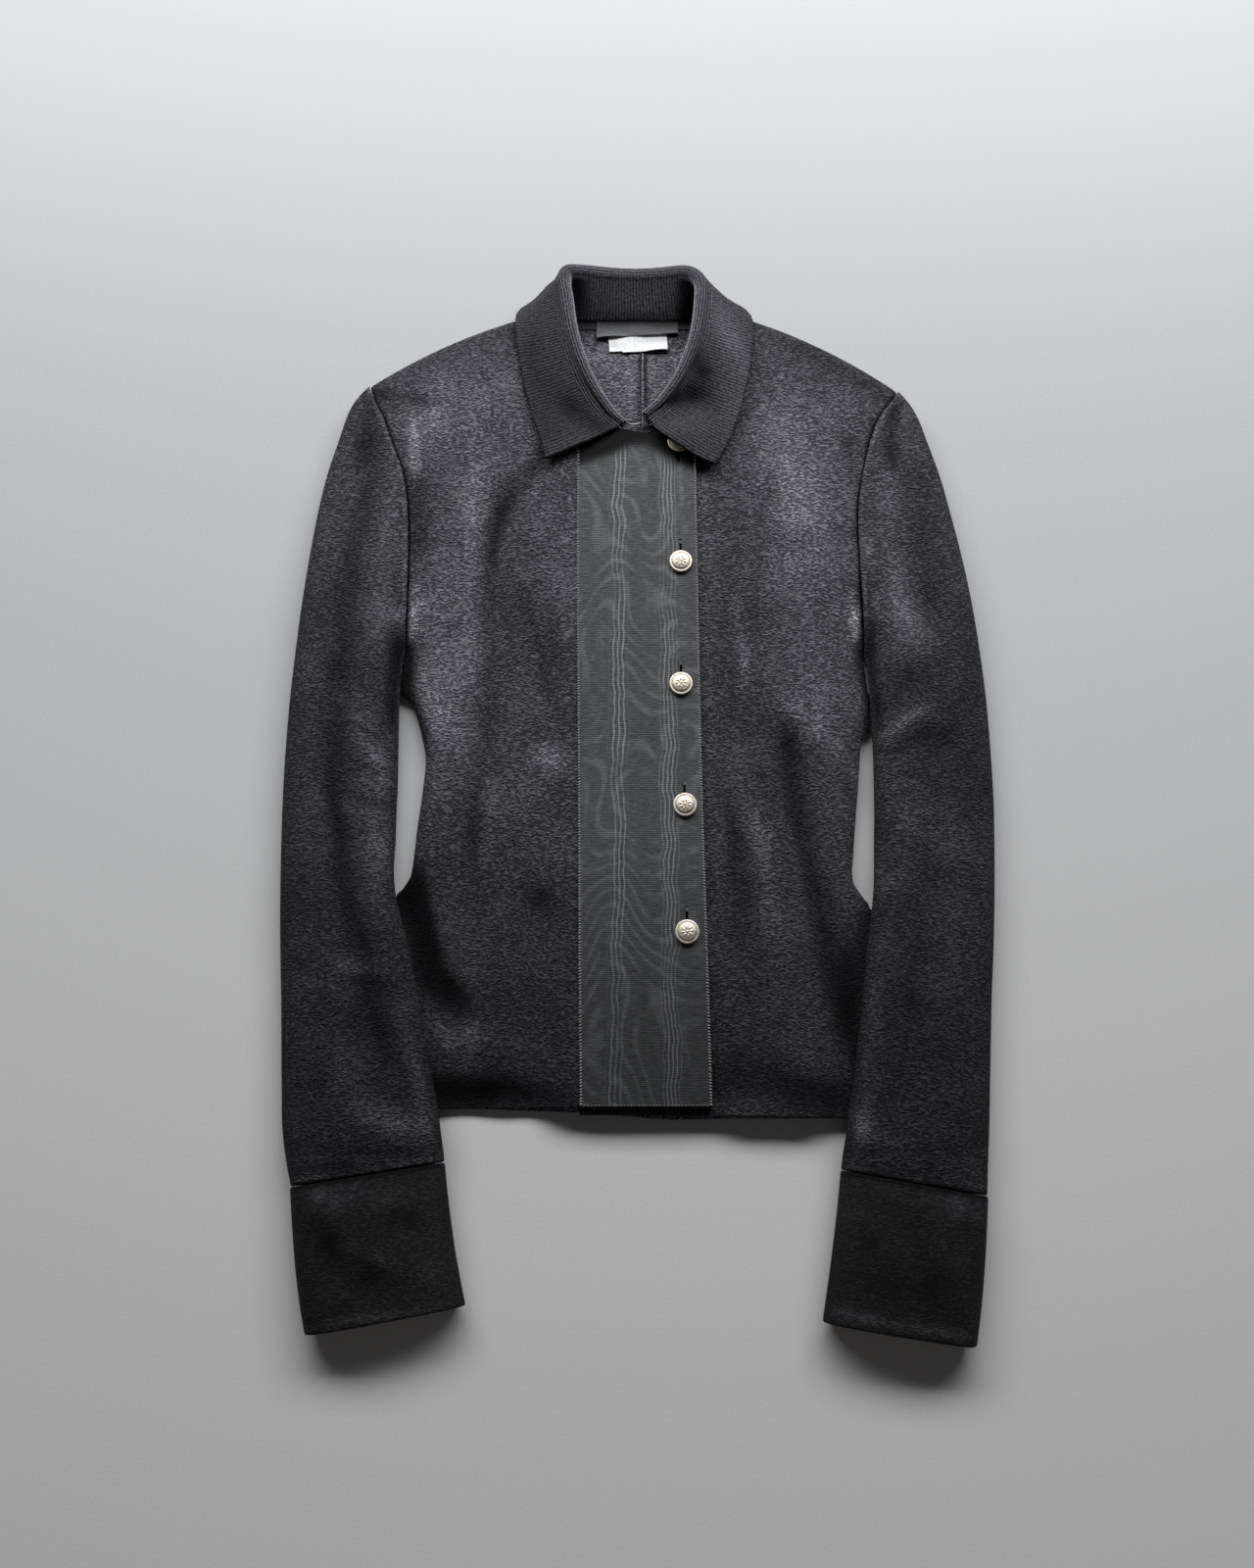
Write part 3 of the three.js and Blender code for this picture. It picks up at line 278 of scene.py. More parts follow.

# Creases laid over the solids' forms: points along the line, its half width, its height, and
# how much lighter or darker the cloth is painted there, mostly painted shade in the troughs and painted
# highlight on the ridges
FRONT_CREASES = (
    (((-128, -210), (-90, -213), (-50, -214)), 13.0, -2.4, 0),
    (((66, -218), (92, -220), (122, -219)), 14.0, 5.2, 0.1),
    (((-178, 267), (-126, 277)), 24.2, 0.7, 0.25),
    (((-181, 286), (-161, 233), (-152, 180), (-154, 144)), 8.3, -1.0, -0.3),
    (((-65, 239), (-90, 217), (-101, 180), (-101, 108), (-99, 24)), 5.7, -1.2, -0.28),
    (((-106, 244), (-116, 195), (-115, 122), (-115, 65)), 8.9, 1.0, 0.22),
    (((-143, 144), (-131, 93), (-126, 38)), 16.6, 1.4, 0.3),
    (((-73, 162), (-61, 115), (-47, 69)), 7.6, -1.0, -0.25),
    (((-83, 195), (-88, 136), (-80, 65)), 11.5, -0.4, -0.12),
    (((-67, 12), (-58, 16)), 8.9, 0.8, 0.28),
    (((-107, -3), (-108, -43), (-103, -89)), 6.4, -0.8, -0.15),
    (((-68, -79), (-61, -86)), 10.2, -1.2, -0.22),
    (((-162, -65), (-146, -96), (-132, -134), (-118, -148)), 9.4, -3.6, -1.4),
    (((-123, -168), (-110, -174)), 7.6, 1.2, 0.2),
    (((-125, -201), (-75, -207)), 8.9, -1.4, -0.35),
    (((-96, -134), (-57, -165)), 22.9, -0.3, -0.1),
    (((66, 225), (68, 136), (63, 38)), 16.6, -0.8, -0.22),
    (((105, 255), (114, 195), (122, 122), (126, 65)), 20.4, 1.6, 0.32),
    (((101, 244), (88, 188), (80, 108), (75, 31)), 5.1, -0.6, -0.12),
    (((98, 34), (106, 3), (115, -57), (122, -115), (133, -159)), 7.6, -2.2, -0.42),
    (((119, 55), (132, 24), (151, -3)), 6.4, 1.4, 0.28),
    (((81, -30), (85, -76), (92, -121)), 7.6, 1.0, 0.18),
    (((64, -17), (64, -70), (70, -115)), 5.7, -0.9, -0.2),
    (((135, -108), (139, -165)), 8.9, -1.6, -0.35),
    (((103, -190), (118, -195)), 7.6, 0.8, 0.15),
    (((56, -184), (87, -202)), 16.6, -0.8, -0.2),
    (((172, 263), (163, 210), (156, 165)), 6.4, -0.6, -0.15),
    (((155, 136), (154, 72)), 5.1, -0.8, -0.25),
    (((126, 255), (148, 267)), 15.9, 0.4, 0.12),
    (((-138, -206), (-94, -206), (-44, -209)), 9.6, -1.0, -0.75),
    (((-142, -203), (-118, -207), (-98, -211)), 8.0, -0.8, -0.8),
    (((-157.5, 94), (-159, 78), (-158, 62)), 4.2, -1.2, -1.7),
    (((-155, 122), (-155, 100)), 4.2, 0.2, 0.42),
    (((153, 116), (152, 96)), 3.6, 0.3, 0.5),
    (((141, -120), (138, -142)), 5.0, 0.3, 0.35),
    (((-126, -140), (-112, -128)), 7.0, 0.4, 0.3),
    (((-112, -164), (-100, -172)), 7.0, 0.4, 0.25),
    (((-152, -60), (-147, -84), (-140, -108), (-133, -130)), 6.5, -2.2, -2.2),
    (((-133, -131), (-121, -139)), 5.0, -1.6, -1.9),
    (((-153, 58), (-147, 38), (-144, 22)), 3.4, -0.5, -0.5),
    (((-160, 262), (-156, 215)), 4.6, 0.4, 0.5),
    (((-154, 182), (-153, 160)), 5.0, -0.2, -0.2),
    (((-55, 118), (-50, 92), (-48, 60)), 4.6, 0.3, 0.16),
    (((-82, -4), (-62, -24), (-46, -50)), 15.0, 0.3, 0.18),
    (((-97, -4), (-103, -60)), 6.0, 0.4, 0.2),
    (((-144, 60), (-137, 10), (-130, -40)), 9.0, 0.4, 0.14),
    (((67, 128), (74, 92), (74, 48)), 4.8, 0.3, 0.3),
    (((151, 132), (149, 100)), 4.2, 0.4, 0.4),
    (((78, -20), (84, -60)), 7.0, 0.3, 0.2),
    (((-160, 88), (-158, 65), (-153, 39)), 5.7, -1.5, -1.1),
    (((-196, 288), (-172, 285), (-144, 278)), 5.1, -0.5, -0.38),
    (((-91, 341), (-83, 306), (-71, 263)), 4.5, -0.2, -0.25),
    (((-49, 255), (-68, 233), (-93, 195), (-102, 158)), 5.7, -1.0, -0.38),
    (((-151, 72), (-133, 44), (-125, 17)), 15.3, 0.6, 0.2),
    (((-72, 3), (-56, 10), (-36, 7)), 10.2, 0.5, 0.28),
    (((-72, 158), (-64, 136)), 8.9, 0.4, 0.22),
    (((-146, 225), (-138, 195)), 12.7, -0.3, -0.13),
    (((-139, 129), (-121, 97)), 10.2, -0.3, -0.13),
    (((-80, 133), (-67, 93), (-53, 48)), 4.5, -0.8, -0.25),
    (((-102, 38), (-110, -23), (-107, -83)), 5.1, -0.5, -0.16),
    (((-74, -73), (-61, -86)), 10.2, -0.5, -0.2),
    (((-62, -50), (-84, -57)), 8.9, 0.3, 0.12),
    (((-160, 144), (-155, 108)), 7.6, 0.4, 0.16),
    (((-37, 242), (-1, 266), (38, 244)), 5.7, -0.5, -0.95),
    (((44, -201), (87, -203), (143, -213)), 12.7, -0.8, -0.45),
    (((105, -209), (135, -215)), 11.5, -0.6, -0.5),
    (((157, -89), (141, -124), (137, -165), (146, -196)), 8.9, -2.0, -0.75),
    (((96, 17), (107, -37), (127, -108)), 5.1, -1.0, -0.28),
    (((98, 34), (107, 18)), 5.7, -1.2, -0.45),
    (((100, 55), (113, 41), (122, 31)), 6.4, 1.2, 0.38),
    (((72, 144), (77, 79)), 10.2, 0.3, 0.13),
    (((103, 169), (127, 165)), 11.5, -0.5, -0.22),
    (((119, 144), (135, 108)), 8.9, -0.4, -0.15),
    (((56, 3), (64, -37), (74, -83)), 5.7, -0.7, -0.22),
    (((158, 97), (158, 65), (158, 32)), 4.5, -1.0, -0.85),
    (((107, 329), (149, 306), (180, 286)), 8.9, -0.3, -0.22),
    (((87, 325), (83, 286), (71, 248)), 4.5, -0.2, -0.22),
    (((152, 248), (159, 195), (160, 165)), 5.7, -0.5, -0.28),
    (((80, 38), (88, -37)), 8.9, -0.3, -0.14),
    (((122, -70), (134, -92)), 5.1, -0.4, -0.25),
    (((61, -89), (76, -134)), 11.5, -0.3, -0.13),
    (((140, 17), (143, -3)), 5.7, -0.4, -0.28),
    (((-101, -178), (-88, -190)), 8.9, -0.4, -0.25),
    (((-126, -162), (-118, -176)), 5.7, 0.5, 0.12),
)
SLEEVE_CREASES = (
    (
        ((-184, 253), (-197, 164), (-202, 64), (-200, -18), (-192, -70), (-174, -134), (-156, -184)),
        7.0, -1.8, -0.28,
    ),
    (((-173, 223), (-174, 135), (-177, 92)), 8.9, 1.0, 0.22),
    (((-180, 40), (-170, 2)), 6.4, 1.0, 0.25),
    (((-190, 33), (-168, 23)), 3.2, -1.0, -0.12),
    (((-190, 9), (-165, 2)), 3.2, -1.1, -0.14),
    (((-191, -14), (-166, -19)), 3.2, -0.9, -0.1),
    (((-184, -38), (-164, -35)), 3.2, -0.7, -0.08),
    (((-222, 135), (-219, 23), (-212, -70)), 8.3, 0.6, 0.1),
    (((-222, -125), (-190, -134), (-155, -142)), 4.5, -0.8, -0.18),
    (((-188, -184), (-174, -214), (-158, -226)), 10.2, 0.8, 0.15),
    (((-191, -249), (-175, -254)), 7.6, -0.8, -0.2),
    (((-164, 106), (-159, 61)), 5.7, -1.5, -0.5),
    (((-208, -172), (-199, -208)), 8.9, -0.5, -0.08),
    (((176, 223), (179, 164), (179, 92)), 11.5, 1.0, 0.25),
    (((165, 26), (182, 40), (197, 47)), 5.7, 1.2, 0.22),
    (((167, 13), (187, 25), (204, 30)), 5.1, -1.1, -0.18),
    (((165, -4), (183, 2), (196, -4)), 4.5, -0.8, -0.1),
    (((174, 56), (190, 71)), 5.1, -0.9, -0.14),
    (((165, 164), (160, 78)), 3.8, -0.8, -0.25),
    (((201, 223), (202, 120), (201, 23), (189, -70), (172, -159)), 8.9, -0.9, -0.12),
    (((160, -70), (151, -134)), 8.9, 0.5, 0.1),
    (((160, -140), (179, -153), (204, -153)), 5.7, -0.6, -0.1),
    (((147, -248), (180, -256)), 7.6, -0.6, -0.15),
    (((226, 120), (224, 23), (217, -70)), 7.6, -0.4, -0.08),
    (((-199, 64), (-183, 16), (-176, -24), (-170, -90)), 9.6, 0.8, 0.24),
    (((-210, 36), (-199, -44), (-182, -103), (-173, -118)), 4.5, -0.8, -0.25),
    (((-180, -134), (-170, -159), (-157, -190)), 5.1, -0.6, -0.25),
    (((-189, 284), (-192, 253), (-196, 227)), 5.7, -0.4, -0.4),
    (((-177, -220), (-149, -227), (-119, -229)), 8.3, 0.6, 0.35),
    (((-215, -253), (-184, -250), (-154, -249)), 3.8, -0.3, -0.3),
    (((-218, -134), (-190, -140)), 7.6, 0.2, 0.1),
    (((-165, 106), (-165, 71), (-164, 40)), 4.5, -1.0, -0.75),
    (((185, 282), (180, 253), (181, 227)), 4.5, -0.4, -0.48),
    (((161, 178), (164, 135), (164, 113)), 3.8, 0.5, 0.32),
    (((173, 149), (191, 106), (200, 78)), 14.0, 0.6, 0.22),
    (((168, 26), (182, 38), (198, 47)), 7.0, 1.0, 0.3),
    (((164, -57), (185, -96)), 11.5, 0.4, 0.15),
    (((134, -226), (153, -232), (168, -244)), 8.9, 0.5, 0.3),
    (((140, -251), (171, -257), (204, -265)), 3.8, -0.3, -0.3),
    (((161, 106), (161, 64), (162, 36)), 3.8, -0.8, -0.55),
    (((173, -134), (179, -159)), 6.4, -0.4, -0.15),
    (((195, 36), (220, 16)), 8.9, -0.3, -0.12),
    (((-197, -125), (-166, -129)), 6.4, 0.4, 0.28),
    (((-160, -54), (-148, -109), (-131, -175)), 4.5, 0.4, 0.25),
    (((-168, 10), (-169, -20), (-167, -58)), 6.5, 0.4, 0.3),
    (((-165, 118), (-164, 96)), 4.5, 0.2, 0.5),
    (((-212, -112), (-186, -130), (-160, -120)), 17.0, 0.4, 0.24),
    (((-150, -150), (-140, -190), (-131, -238)), 6.0, 0.4, 0.34),
    (((-215, -160), (-190, -185)), 15.0, 0.3, 0.14),
    (((190, 106), (204, 88), (214, 70)), 15.0, 0.4, 0.14),
    (((176, -8), (214, -58), (192, -130)), 22.0, 0.4, 0.2),
    (((153, -138), (146, -190), (139, -240)), 6.0, 0.4, 0.32),
    (((167, 9), (178, -44)), 11.5, 0.3, 0.15),
)
COLLAR_CREASES = (
    (((20, 277), (32, 275), (44, 281)), 7.5, -2.4, -0.95),
    (((34, 303), (37, 292), (44, 281), (56, 268)), 6.0, -0.8, -0.16),
    (((39, 367), (60, 339), (75, 304)), 13.0, 0.4, 0.3),
    (((-66, 291), (-45, 270), (-26, 255)), 9.0, -0.7, -0.3),
    (((-36, 258), (-20, 254)), 6.0, -0.2, -0.3),
    (((-42, 276), (-50, 262), (-60, 248)), 12.0, -0.5, -0.16),
    (((-80, 334), (-74, 290), (-64, 252)), 9.0, -0.2, -0.2),
    (((36, 312), (46, 300), (50, 292)), 6.0, -0.6, -0.7),
    (((76, 320), (72, 280), (64, 250)), 8.0, 0.5, 0.12),
)
# Shade on the ribbon under the collar's ends
NECK_SHADE = ((((-46, 234), (-24, 243.5), (-5, 250.5), (9, 249), (26, 240), (44, 230)), 7.2, 0, -3.2),)
BACK_CREASES = (
    (((-20, 200), (-28, 110), (-22, 20)), 9.0, 0.8, 0.1),
    (((60, 230), (70, 130), (64, 60)), 11.0, 0.7, 0.1),
    (((-90, 120), (-96, 10), (-84, -90)), 8.0, 0.6, -0.1),
    (((40, -40), (60, -110), (96, -160)), 10.0, 0.7, 0.1),
    (((-120, -150), (-60, -176)), 7.0, 0.5, -0.1),
)
CUFF_CREASES = (
    (((-204, -279), (-182, -308), (-151, -320)), 8.9, -0.85, -0.22),
    (((-184, -265), (-141, -275)), 8.9, 0.51, 0.18),
    (((-140, -291), (-121, -325)), 8.9, 0.51, 0.15),
    (((140, -268), (169, -285), (185, -325)), 8.9, -0.68, -0.15),
    (((144, -308), (167, -339)), 10.2, 0.51, 0.15),
    (((-205, -265), (-186, -271)), 6.4, 0.51, 0.42),
    (((-194, -294), (-185, -302)), 7.6, -0.68, -0.38),
    (((-153, -279), (-137, -285)), 7.6, -0.68, -0.38),
    (((-182, -300), (-151, -311)), 5.1, 0.68, 0.24),
    (((-172, -320), (-163, -321)), 6.4, -0.68, -0.3),
    (((-207, -345), (-162, -339), (-115, -331)), 3.2, 0.0, 0.3),
    (((188, -271), (212, -279)), 8.9, 0.68, 0.38),
    (((144, -320), (186, -322)), 12.7, -0.68, -0.38),
    (((119, -335), (161, -343), (202, -351)), 3.8, 0.0, 0.45),
    (((139, -291), (141, -302)), 7.6, -0.51, -0.22),
)


# Helpers
def mix(a, b, t):
    return a + (b - a) * t


def smooth(start, end, value):
    t = np.clip((np.asarray(value, float) - start) / (end - start), 0, 1)
    return t * t * (3 - 2 * t)


def size_of(tab):
    return len(next(iter(tab.values())))


def between(tab, at):
    """A smooth curve through the rows of a table, at row numbers that need not be whole."""
    at = np.asarray(at, float)
    last = size_of(tab) - 1
    i = np.clip(np.floor(at).astype(int), 0, last - 1)
    t = np.clip(at - i, 0, 1)
    found = {}
    for name, column in tab.items():
        a, b = column[i], column[i + 1]
        slope_a = (b - column[np.maximum(i - 1, 0)]) / np.where(i == 0, 1, 2)
        slope_b = (column[np.minimum(i + 2, last)] - a) / np.where(i + 2 > last, 1, 2)
        found[name] = (
            (2 * t**3 - 3 * t**2 + 1) * a + (t**3 - 2 * t**2 + t) * slope_a
            + (3 * t**2 - 2 * t**3) * b + (t**3 - t**2) * slope_b
        )
    return found


def row_at(tab, name, value):
    """The same for values of one column, which runs up or down."""
    column, value = tab[name], np.asarray(value, float)
    sign = 1 if column[-1] > column[0] else -1
    i = np.minimum(np.searchsorted(sign * column[1:], sign * value), len(column) - 2)
    return between(tab, i + np.clip((value - column[i]) / (column[i + 1] - column[i]), 0, 1))


def distance_to_line(x, y, x1, y1, x2, y2):
    dx, dy = x2 - x1, y2 - y1
    t = np.clip(((x - x1) * dx + (y - y1) * dy) / (dx * dx + dy * dy), 0, 1)
    return np.hypot(x - x1 - t * dx, y - y1 - t * dy), t


def distance_to_path(x, y, path):
    """Distance to the bent line through the rows of a table."""
    nearest = np.full(np.broadcast(x, y).shape, FAR)
    for i in range(size_of(path) - 1):
        away, _ = distance_to_line(x, y, path["x"][i], path["y"][i], path["x"][i + 1], path["y"][i + 1])
        nearest = np.minimum(nearest, away)
    return nearest


def hump(distance, width):
    """1 on a line, fading to nothing about two widths away from it."""
    return np.exp(-((distance / width) ** 2))


def folds(tab, x, y):
    height = 0
    for i in range(size_of(tab)):
        away, _ = distance_to_line(x, y, tab["x1"][i], tab["y1"][i], tab["x2"][i], tab["y2"][i])
        height = height + tab["height"][i] * hump(away, tab["width"][i])
    return height


def waves(x, y, size, seed):
    """Uneven soft lumps of about the given size, near -1 to 1."""
    chance = np.random.default_rng(seed)
    total = 0
    for _ in range(14):
        turn, phase = chance.uniform(0, math.tau, 2)
        pitch = math.tau / (size * chance.uniform(0.7, 1.6))
        total = total + np.sin((x * math.cos(turn) + y * math.sin(turn)) * pitch + phase)
    return total / 5


def lumps(rows, x, y):
    return sum(height * waves(x, y, size, seed) for height, size, seed in rows)


def creases(rows, x, y):
    """Soft troughs and ridges along bent lines, uneven in depth, fading at both ends, with their painted
    shade and highlight.
    """
    total = np.zeros(np.broadcast(x, y).shape)
    tone = np.zeros(total.shape)
    bent_x = x + CREASE_WANDER * waves(x, y, WANDER_SIZE, 3)
    bent_y = y + CREASE_WANDER * waves(x, y, WANDER_SIZE, 4)
    for number, (points, width, height, shade) in enumerate(rows):
        nearest = np.full(total.shape, FAR)
        along = np.zeros(total.shape)
        count = len(points) - 1
        for k in range(count):
            away, t = distance_to_line(bent_x, bent_y, *points[k], *points[k + 1])
            closer = away < nearest
            nearest = np.where(closer, away, nearest)
            along = np.where(closer, (k + t) / count, along)
        fade = smooth(-0.35, 0.3, along) * smooth(1.35, 0.7, along)
        stroke = fade * (1 + 0.28 * np.sin(9 * along + number)) * hump(nearest, width)
        total += height * stroke
        tone += shade * stroke
    return total, tone


def painted_falloff_tone(y):
    """Painted light and shade: the cloth is painted lighter at the shoulders and darker towards the hem and
    cuffs, as the light falls off away from the window lamp.
    """
    return mix(-0.3, 0.08, smooth(-230, 250, y))


# Body surfaces
def distance_to_side(x, y):
    return np.where(x < 0, distance_to_path(x, y, BODY_EDGE[-1]), distance_to_path(x, y, BODY_EDGE[1]))


def distance_to_armhole(x, y, side):
    return distance_to_path(x, y, ARMHOLE[side])


def seam_strength(y, side):
    """The armhole seam shows most by the shoulder tip and by the armpit."""
    middle = smooth(255, 225, y) * smooth(130, 165, y)
    return 1 - (0.75 if side > 0 else 0.35) * middle


def shoulder_bow(along):
    return SHOULDER_BOW * 4 * np.clip(along, 0, 1) * np.clip(1 - along, 0, 1)


def below_shoulder(x, y):
    result = 0
    for side, (neck, tip) in SHOULDER.items():
        dx, dy = tip[0] - neck[0], tip[1] - neck[1]
        length = math.hypot(dx, dy)
        across = (x - neck[0]) * dy - (y - neck[1]) * dx
        along = ((x - neck[0]) * dx + (y - neck[1]) * dy) / length**2
        own = math.copysign(1, dx) * across / length + shoulder_bow(along)
        result = np.where((x < 0) == (side < 0), own, result)
    return result


def roll(distance, radius):
    return np.sqrt(1 - (1 - np.clip(distance / radius, 0, 1)) ** 2)


def open_height(x, y):
    row = row_at(HEIGHTS, "y", np.clip(y, HEIGHTS["y"][0], HEIGHTS["y"][-1]))
    to_side = np.clip(np.abs(x) / HALF_WIDTH, 0, 1)
    return mix(row["middle"], row["side"], to_side**2.2) + folds(FRONT_FOLDS, x, y)


def front_top(x, y, fine=False):
    """Outer face of one layer of the front."""
    side_radius = mix(SIDE_ROLL, ARMHOLE_ROLL, smooth(40, 150, y))
    to_side, below = distance_to_side(x, y), below_shoulder(x, y)
    shape = roll(to_side, side_radius) * roll(below, SHOULDER_ROLL)
    top = mix(SEAM_TOP_Z, open_height(x, y), shape)
    if fine:
        clear_of_band = 1 - smooth(-58, -44, x) * smooth(62, 50, x)
        relief = creases(FRONT_CREASES, x, y)[0] + lumps(FRONT_LUMPS, x, y)
        top = top + shape * clear_of_band * relief
        depth, width = ARMHOLE_GROOVE
        for side in (-1, 1):
            top = top - depth * seam_strength(y, side) * hump(distance_to_armhole(x, y, side), width)
    return top


def overlap_top(x, y, fine=False):
    return front_top(x, y, fine) + (CLOTH + LAYER_GAP) * smooth(*OVERLAP_RAMP, x)


def onto(place, x, y):
    return smooth(*place[0], x) * smooth(*place[1], x) * smooth(*place[2], y)


def layers_top(x, y):
    """The highest cloth, ribbon or button at a place, where the collar lies down on it."""
    away = np.hypot(x - BUTTONS["x"][0], y - BUTTONS["y"][0]) / BUTTON_MOUND_RADIUS
    layers = (
        (CLOTH + LAYER_GAP) * onto(ONTO_OVERLAP, x, y) + (RIBBON + GAP) * onto(ONTO_RIBBON, x, y)
        + BUTTON_MOUND * hump(away, 1)
    )
    front_y = np.minimum(y, 352)
    highest = np.maximum(front_top(x, front_y), front_top(x, front_y - 4))
    return (highest + layers) * smooth(-14, 0, below_shoulder(x, y))


def outer_x(side, y):
    hole, edge = ARMHOLE[side], BODY_EDGE[side]
    return np.where(y > hole["y"][0], row_at(hole, "y", y)["x"], row_at(edge, "y", y)["x"])


# Meshes
def spaced(start, end, step, fine_start=True, fine_end=True):
    """Places from start to end about one step apart, closer together at the ends."""
    close = np.array([0, 0.22, 0.5, 0.9, 1.5, 2.4])
    sign = 1 if end > start else -1
    low = close if fine_start else close[:1]
    high = close if fine_end else close[:1]
    inner = np.linspace(low[-1], abs(end - start) - high[-1], max(2, round(abs(end - start) / step)))
    return start + sign * np.concatenate([low[:-1], inner, (abs(end - start) - high[:-1])[::-1]])


def arc(grid, axis):
    steps = np.linalg.norm(np.diff(grid, axis=axis), axis=2)
    zero = np.zeros_like(np.take(steps, [0], axis=axis))
    return np.concatenate([zero, np.cumsum(steps, axis=axis)], axis=axis)


def square_to(grid, closed=False):
    along = np.gradient(grid, axis=0)
    across = np.roll(grid, -1, 1) - np.roll(grid, 1, 1) if closed else np.gradient(grid, axis=1)
    away = np.cross(along, across)
    return away / np.maximum(np.linalg.norm(away, axis=2, keepdims=True), 1e-9)


def mesh_object(name, points, faces, material, tones, uvs=None):
    """A smooth mesh from points in millimetres, with the painted light and shade (tone) at each point."""
    mesh = bpy.data.meshes.new(name)
    mesh.from_pydata(((points + SHIFT) * 0.001).tolist(), [], faces)
    if uvs is not None:
        layer = mesh.uv_layers.new(name="UVMap")
        layer.data.foreach_set("uv", (uvs * 0.001).astype(np.float32).ravel())
    mesh.materials.append(material)
    mesh.polygons.foreach_set("use_smooth", np.ones(len(faces), bool))
    mesh.attributes.new("tone", "FLOAT", "POINT").data.foreach_set("value", tones.astype(np.float32))
    mesh.update()
    made = bpy.data.objects.new(name, mesh)
    bpy.context.scene.collection.objects.link(made)
    return made


def squares(grid):
    """The four corners of every square of a grid, in turning order."""
    return np.stack([grid[:-1, :-1], grid[:-1, 1:], grid[1:, 1:], grid[1:, :-1]], axis=2)


def shell(name, outer, inner, material, closed=False, radius=1.1, holes=None, tone=0.0, fold=0):
    """A closed wall of cloth between two grids of points, its free edges rounded off."""
    rows, columns = outer.shape[:2]
    down, over = arc(outer, 0), arc(outer, 1)
    edge = np.minimum(down, down[-1:] - down)
    if not closed:
        edge = np.minimum(edge, np.minimum(over, over[:, -1:] - over))
    thin = (EDGE_THINNING * (1 - roll(edge, radius)))[..., None]
    outer, inner = mix(outer, inner, thin), mix(inner, outer, thin)
    half = rows * columns
    points = np.concatenate([outer.reshape(-1, 3), inner.reshape(-1, 3)])
    number = np.arange(half).reshape(rows, columns)
    uv = np.stack([over, down], axis=2)
    if fold:
        # Measured from the fold, and along the collar from its middle
        along = down[:, [COLLAR_MEASURED_AT]]
        uv = np.stack([over - over[:, [fold]], along - along[rows // 2] + 0 * over], axis=2)
    if closed:
        number = np.concatenate([number, number[:, :1]], axis=1)
        uv = np.concatenate([uv, uv[:, :1]], axis=1)
        uv[:, -1, 0] = over[:, -1] + np.linalg.norm(outer[:, 0] - outer[:, -1], axis=1)
    keep = np.ones((number.shape[0] - 1, number.shape[1] - 1), bool) if holes is None else ~holes
    quads, quad_uv = squares(number), squares(uv)
    faces = [quads[keep], half + quads[keep][:, ::-1]]
    face_uvs = [quad_uv[keep], quad_uv[keep][:, ::-1]]
    # Narrow faces join the two sides wherever a face is kept and its neighbour is missing
    missing = np.ones((keep.shape[0] + 2, keep.shape[1] + 2), bool)
    missing[1:-1, 1:-1] = ~keep
    if closed:
        missing[1:-1, 0], missing[1:-1, -1] = ~keep[:, -1], ~keep[:, 0]
    neighbours = (
        (0, 1, missing[:-2, 1:-1]), (1, 2, missing[1:-1, 2:]),
        (2, 3, missing[2:, 1:-1]), (3, 0, missing[1:-1, :-2]),
    )
    for a, b, beside in neighbours:
        open_edge = keep & beside
        first, second = quads[open_edge][:, a], quads[open_edge][:, b]
        first_uv, second_uv = quad_uv[open_edge][:, a], quad_uv[open_edge][:, b]
        faces.append(np.stack([second, first, half + first, half + second], axis=1))
        face_uvs.append(np.stack([second_uv, first_uv, first_uv, second_uv], axis=1))
    faces, face_uvs = np.concatenate(faces), np.concatenate(face_uvs)
    # A negative volume means that the faces point inwards
    a, b, c, d = (points[faces[:, k]] for k in range(4))
    if np.sum(np.cross(b - a, c - a) * a) + np.sum(np.cross(c - a, d - a) * a) < 0:
        faces, face_uvs = faces[:, ::-1], face_uvs[:, ::-1]
    used = np.unique(faces)
    renumber = np.zeros(len(points), int)
    renumber[used] = np.arange(len(used))
    tones = np.tile(np.broadcast_to(tone, (rows, columns)).ravel(), 2)[used]
    return mesh_object(name, points[used], renumber[faces].tolist(), material, tones, face_uvs)


def walled(grid, thickness, side, floor):
    inner = grid - square_to(grid) * side * thickness
    inner[..., 2] = np.maximum(inner[..., 2], floor)
    return inner


def front_grid(side, top):
    """Points of a front, row by row from the hem to the shoulder."""
    rows = FRONT_ROWS[side]
    last = size_of(rows) - 1
    starts = [0, 0.007, 0.016, 0.03, 0.05, 0.08]
    ends = last - np.array([0.2, 0.12, 0.07, 0.04, 0.02, 0.01, 0])
    by_neck_corner = [12.9, 12.96, 12.99, 13, 13.02, 13.06, 13.12]
    at = np.unique(np.concatenate([starts, np.arange(0.14, last - 0.25, 0.13), ends, by_neck_corner]))
    row = between(rows, at)
    straight = (at > NECK_CORNER[0]) & (at < NECK_CORNER[1])
    for name in row:
        row[name] = np.where(straight, np.interp(at, np.arange(last + 1), rows[name]), row[name])
    end_x = outer_x(side, row["outerY"])
    length = np.hypot(end_x - row["x"], row["outerY"] - row["y"])[:, None]
    # Even millimetres at both edges, whatever the row's length
    span, margin = 200, 12
    from_outer = np.tile(spaced(0, span, 2.6)[::-1], (len(at), 1))
    inside = mix(margin / length, 1 - margin / length, (from_outer - margin) / (span - 2 * margin))
    t = np.where(from_outer > span - margin, 1 - (span - from_outer) / length, inside)
    t = np.where(from_outer < margin, from_outer / length, t)
    bow = smooth(NECK_ROW, last, at) / math.cos(SHOULDER_SLOPE)
    x = mix(end_x[:, None], row["x"][:, None], t)
    y = mix(row["outerY"][:, None], row["y"][:, None], t) + bow[:, None] * shoulder_bow(t)
    return np.stack([x, y, top(x, y, True)], axis=2)


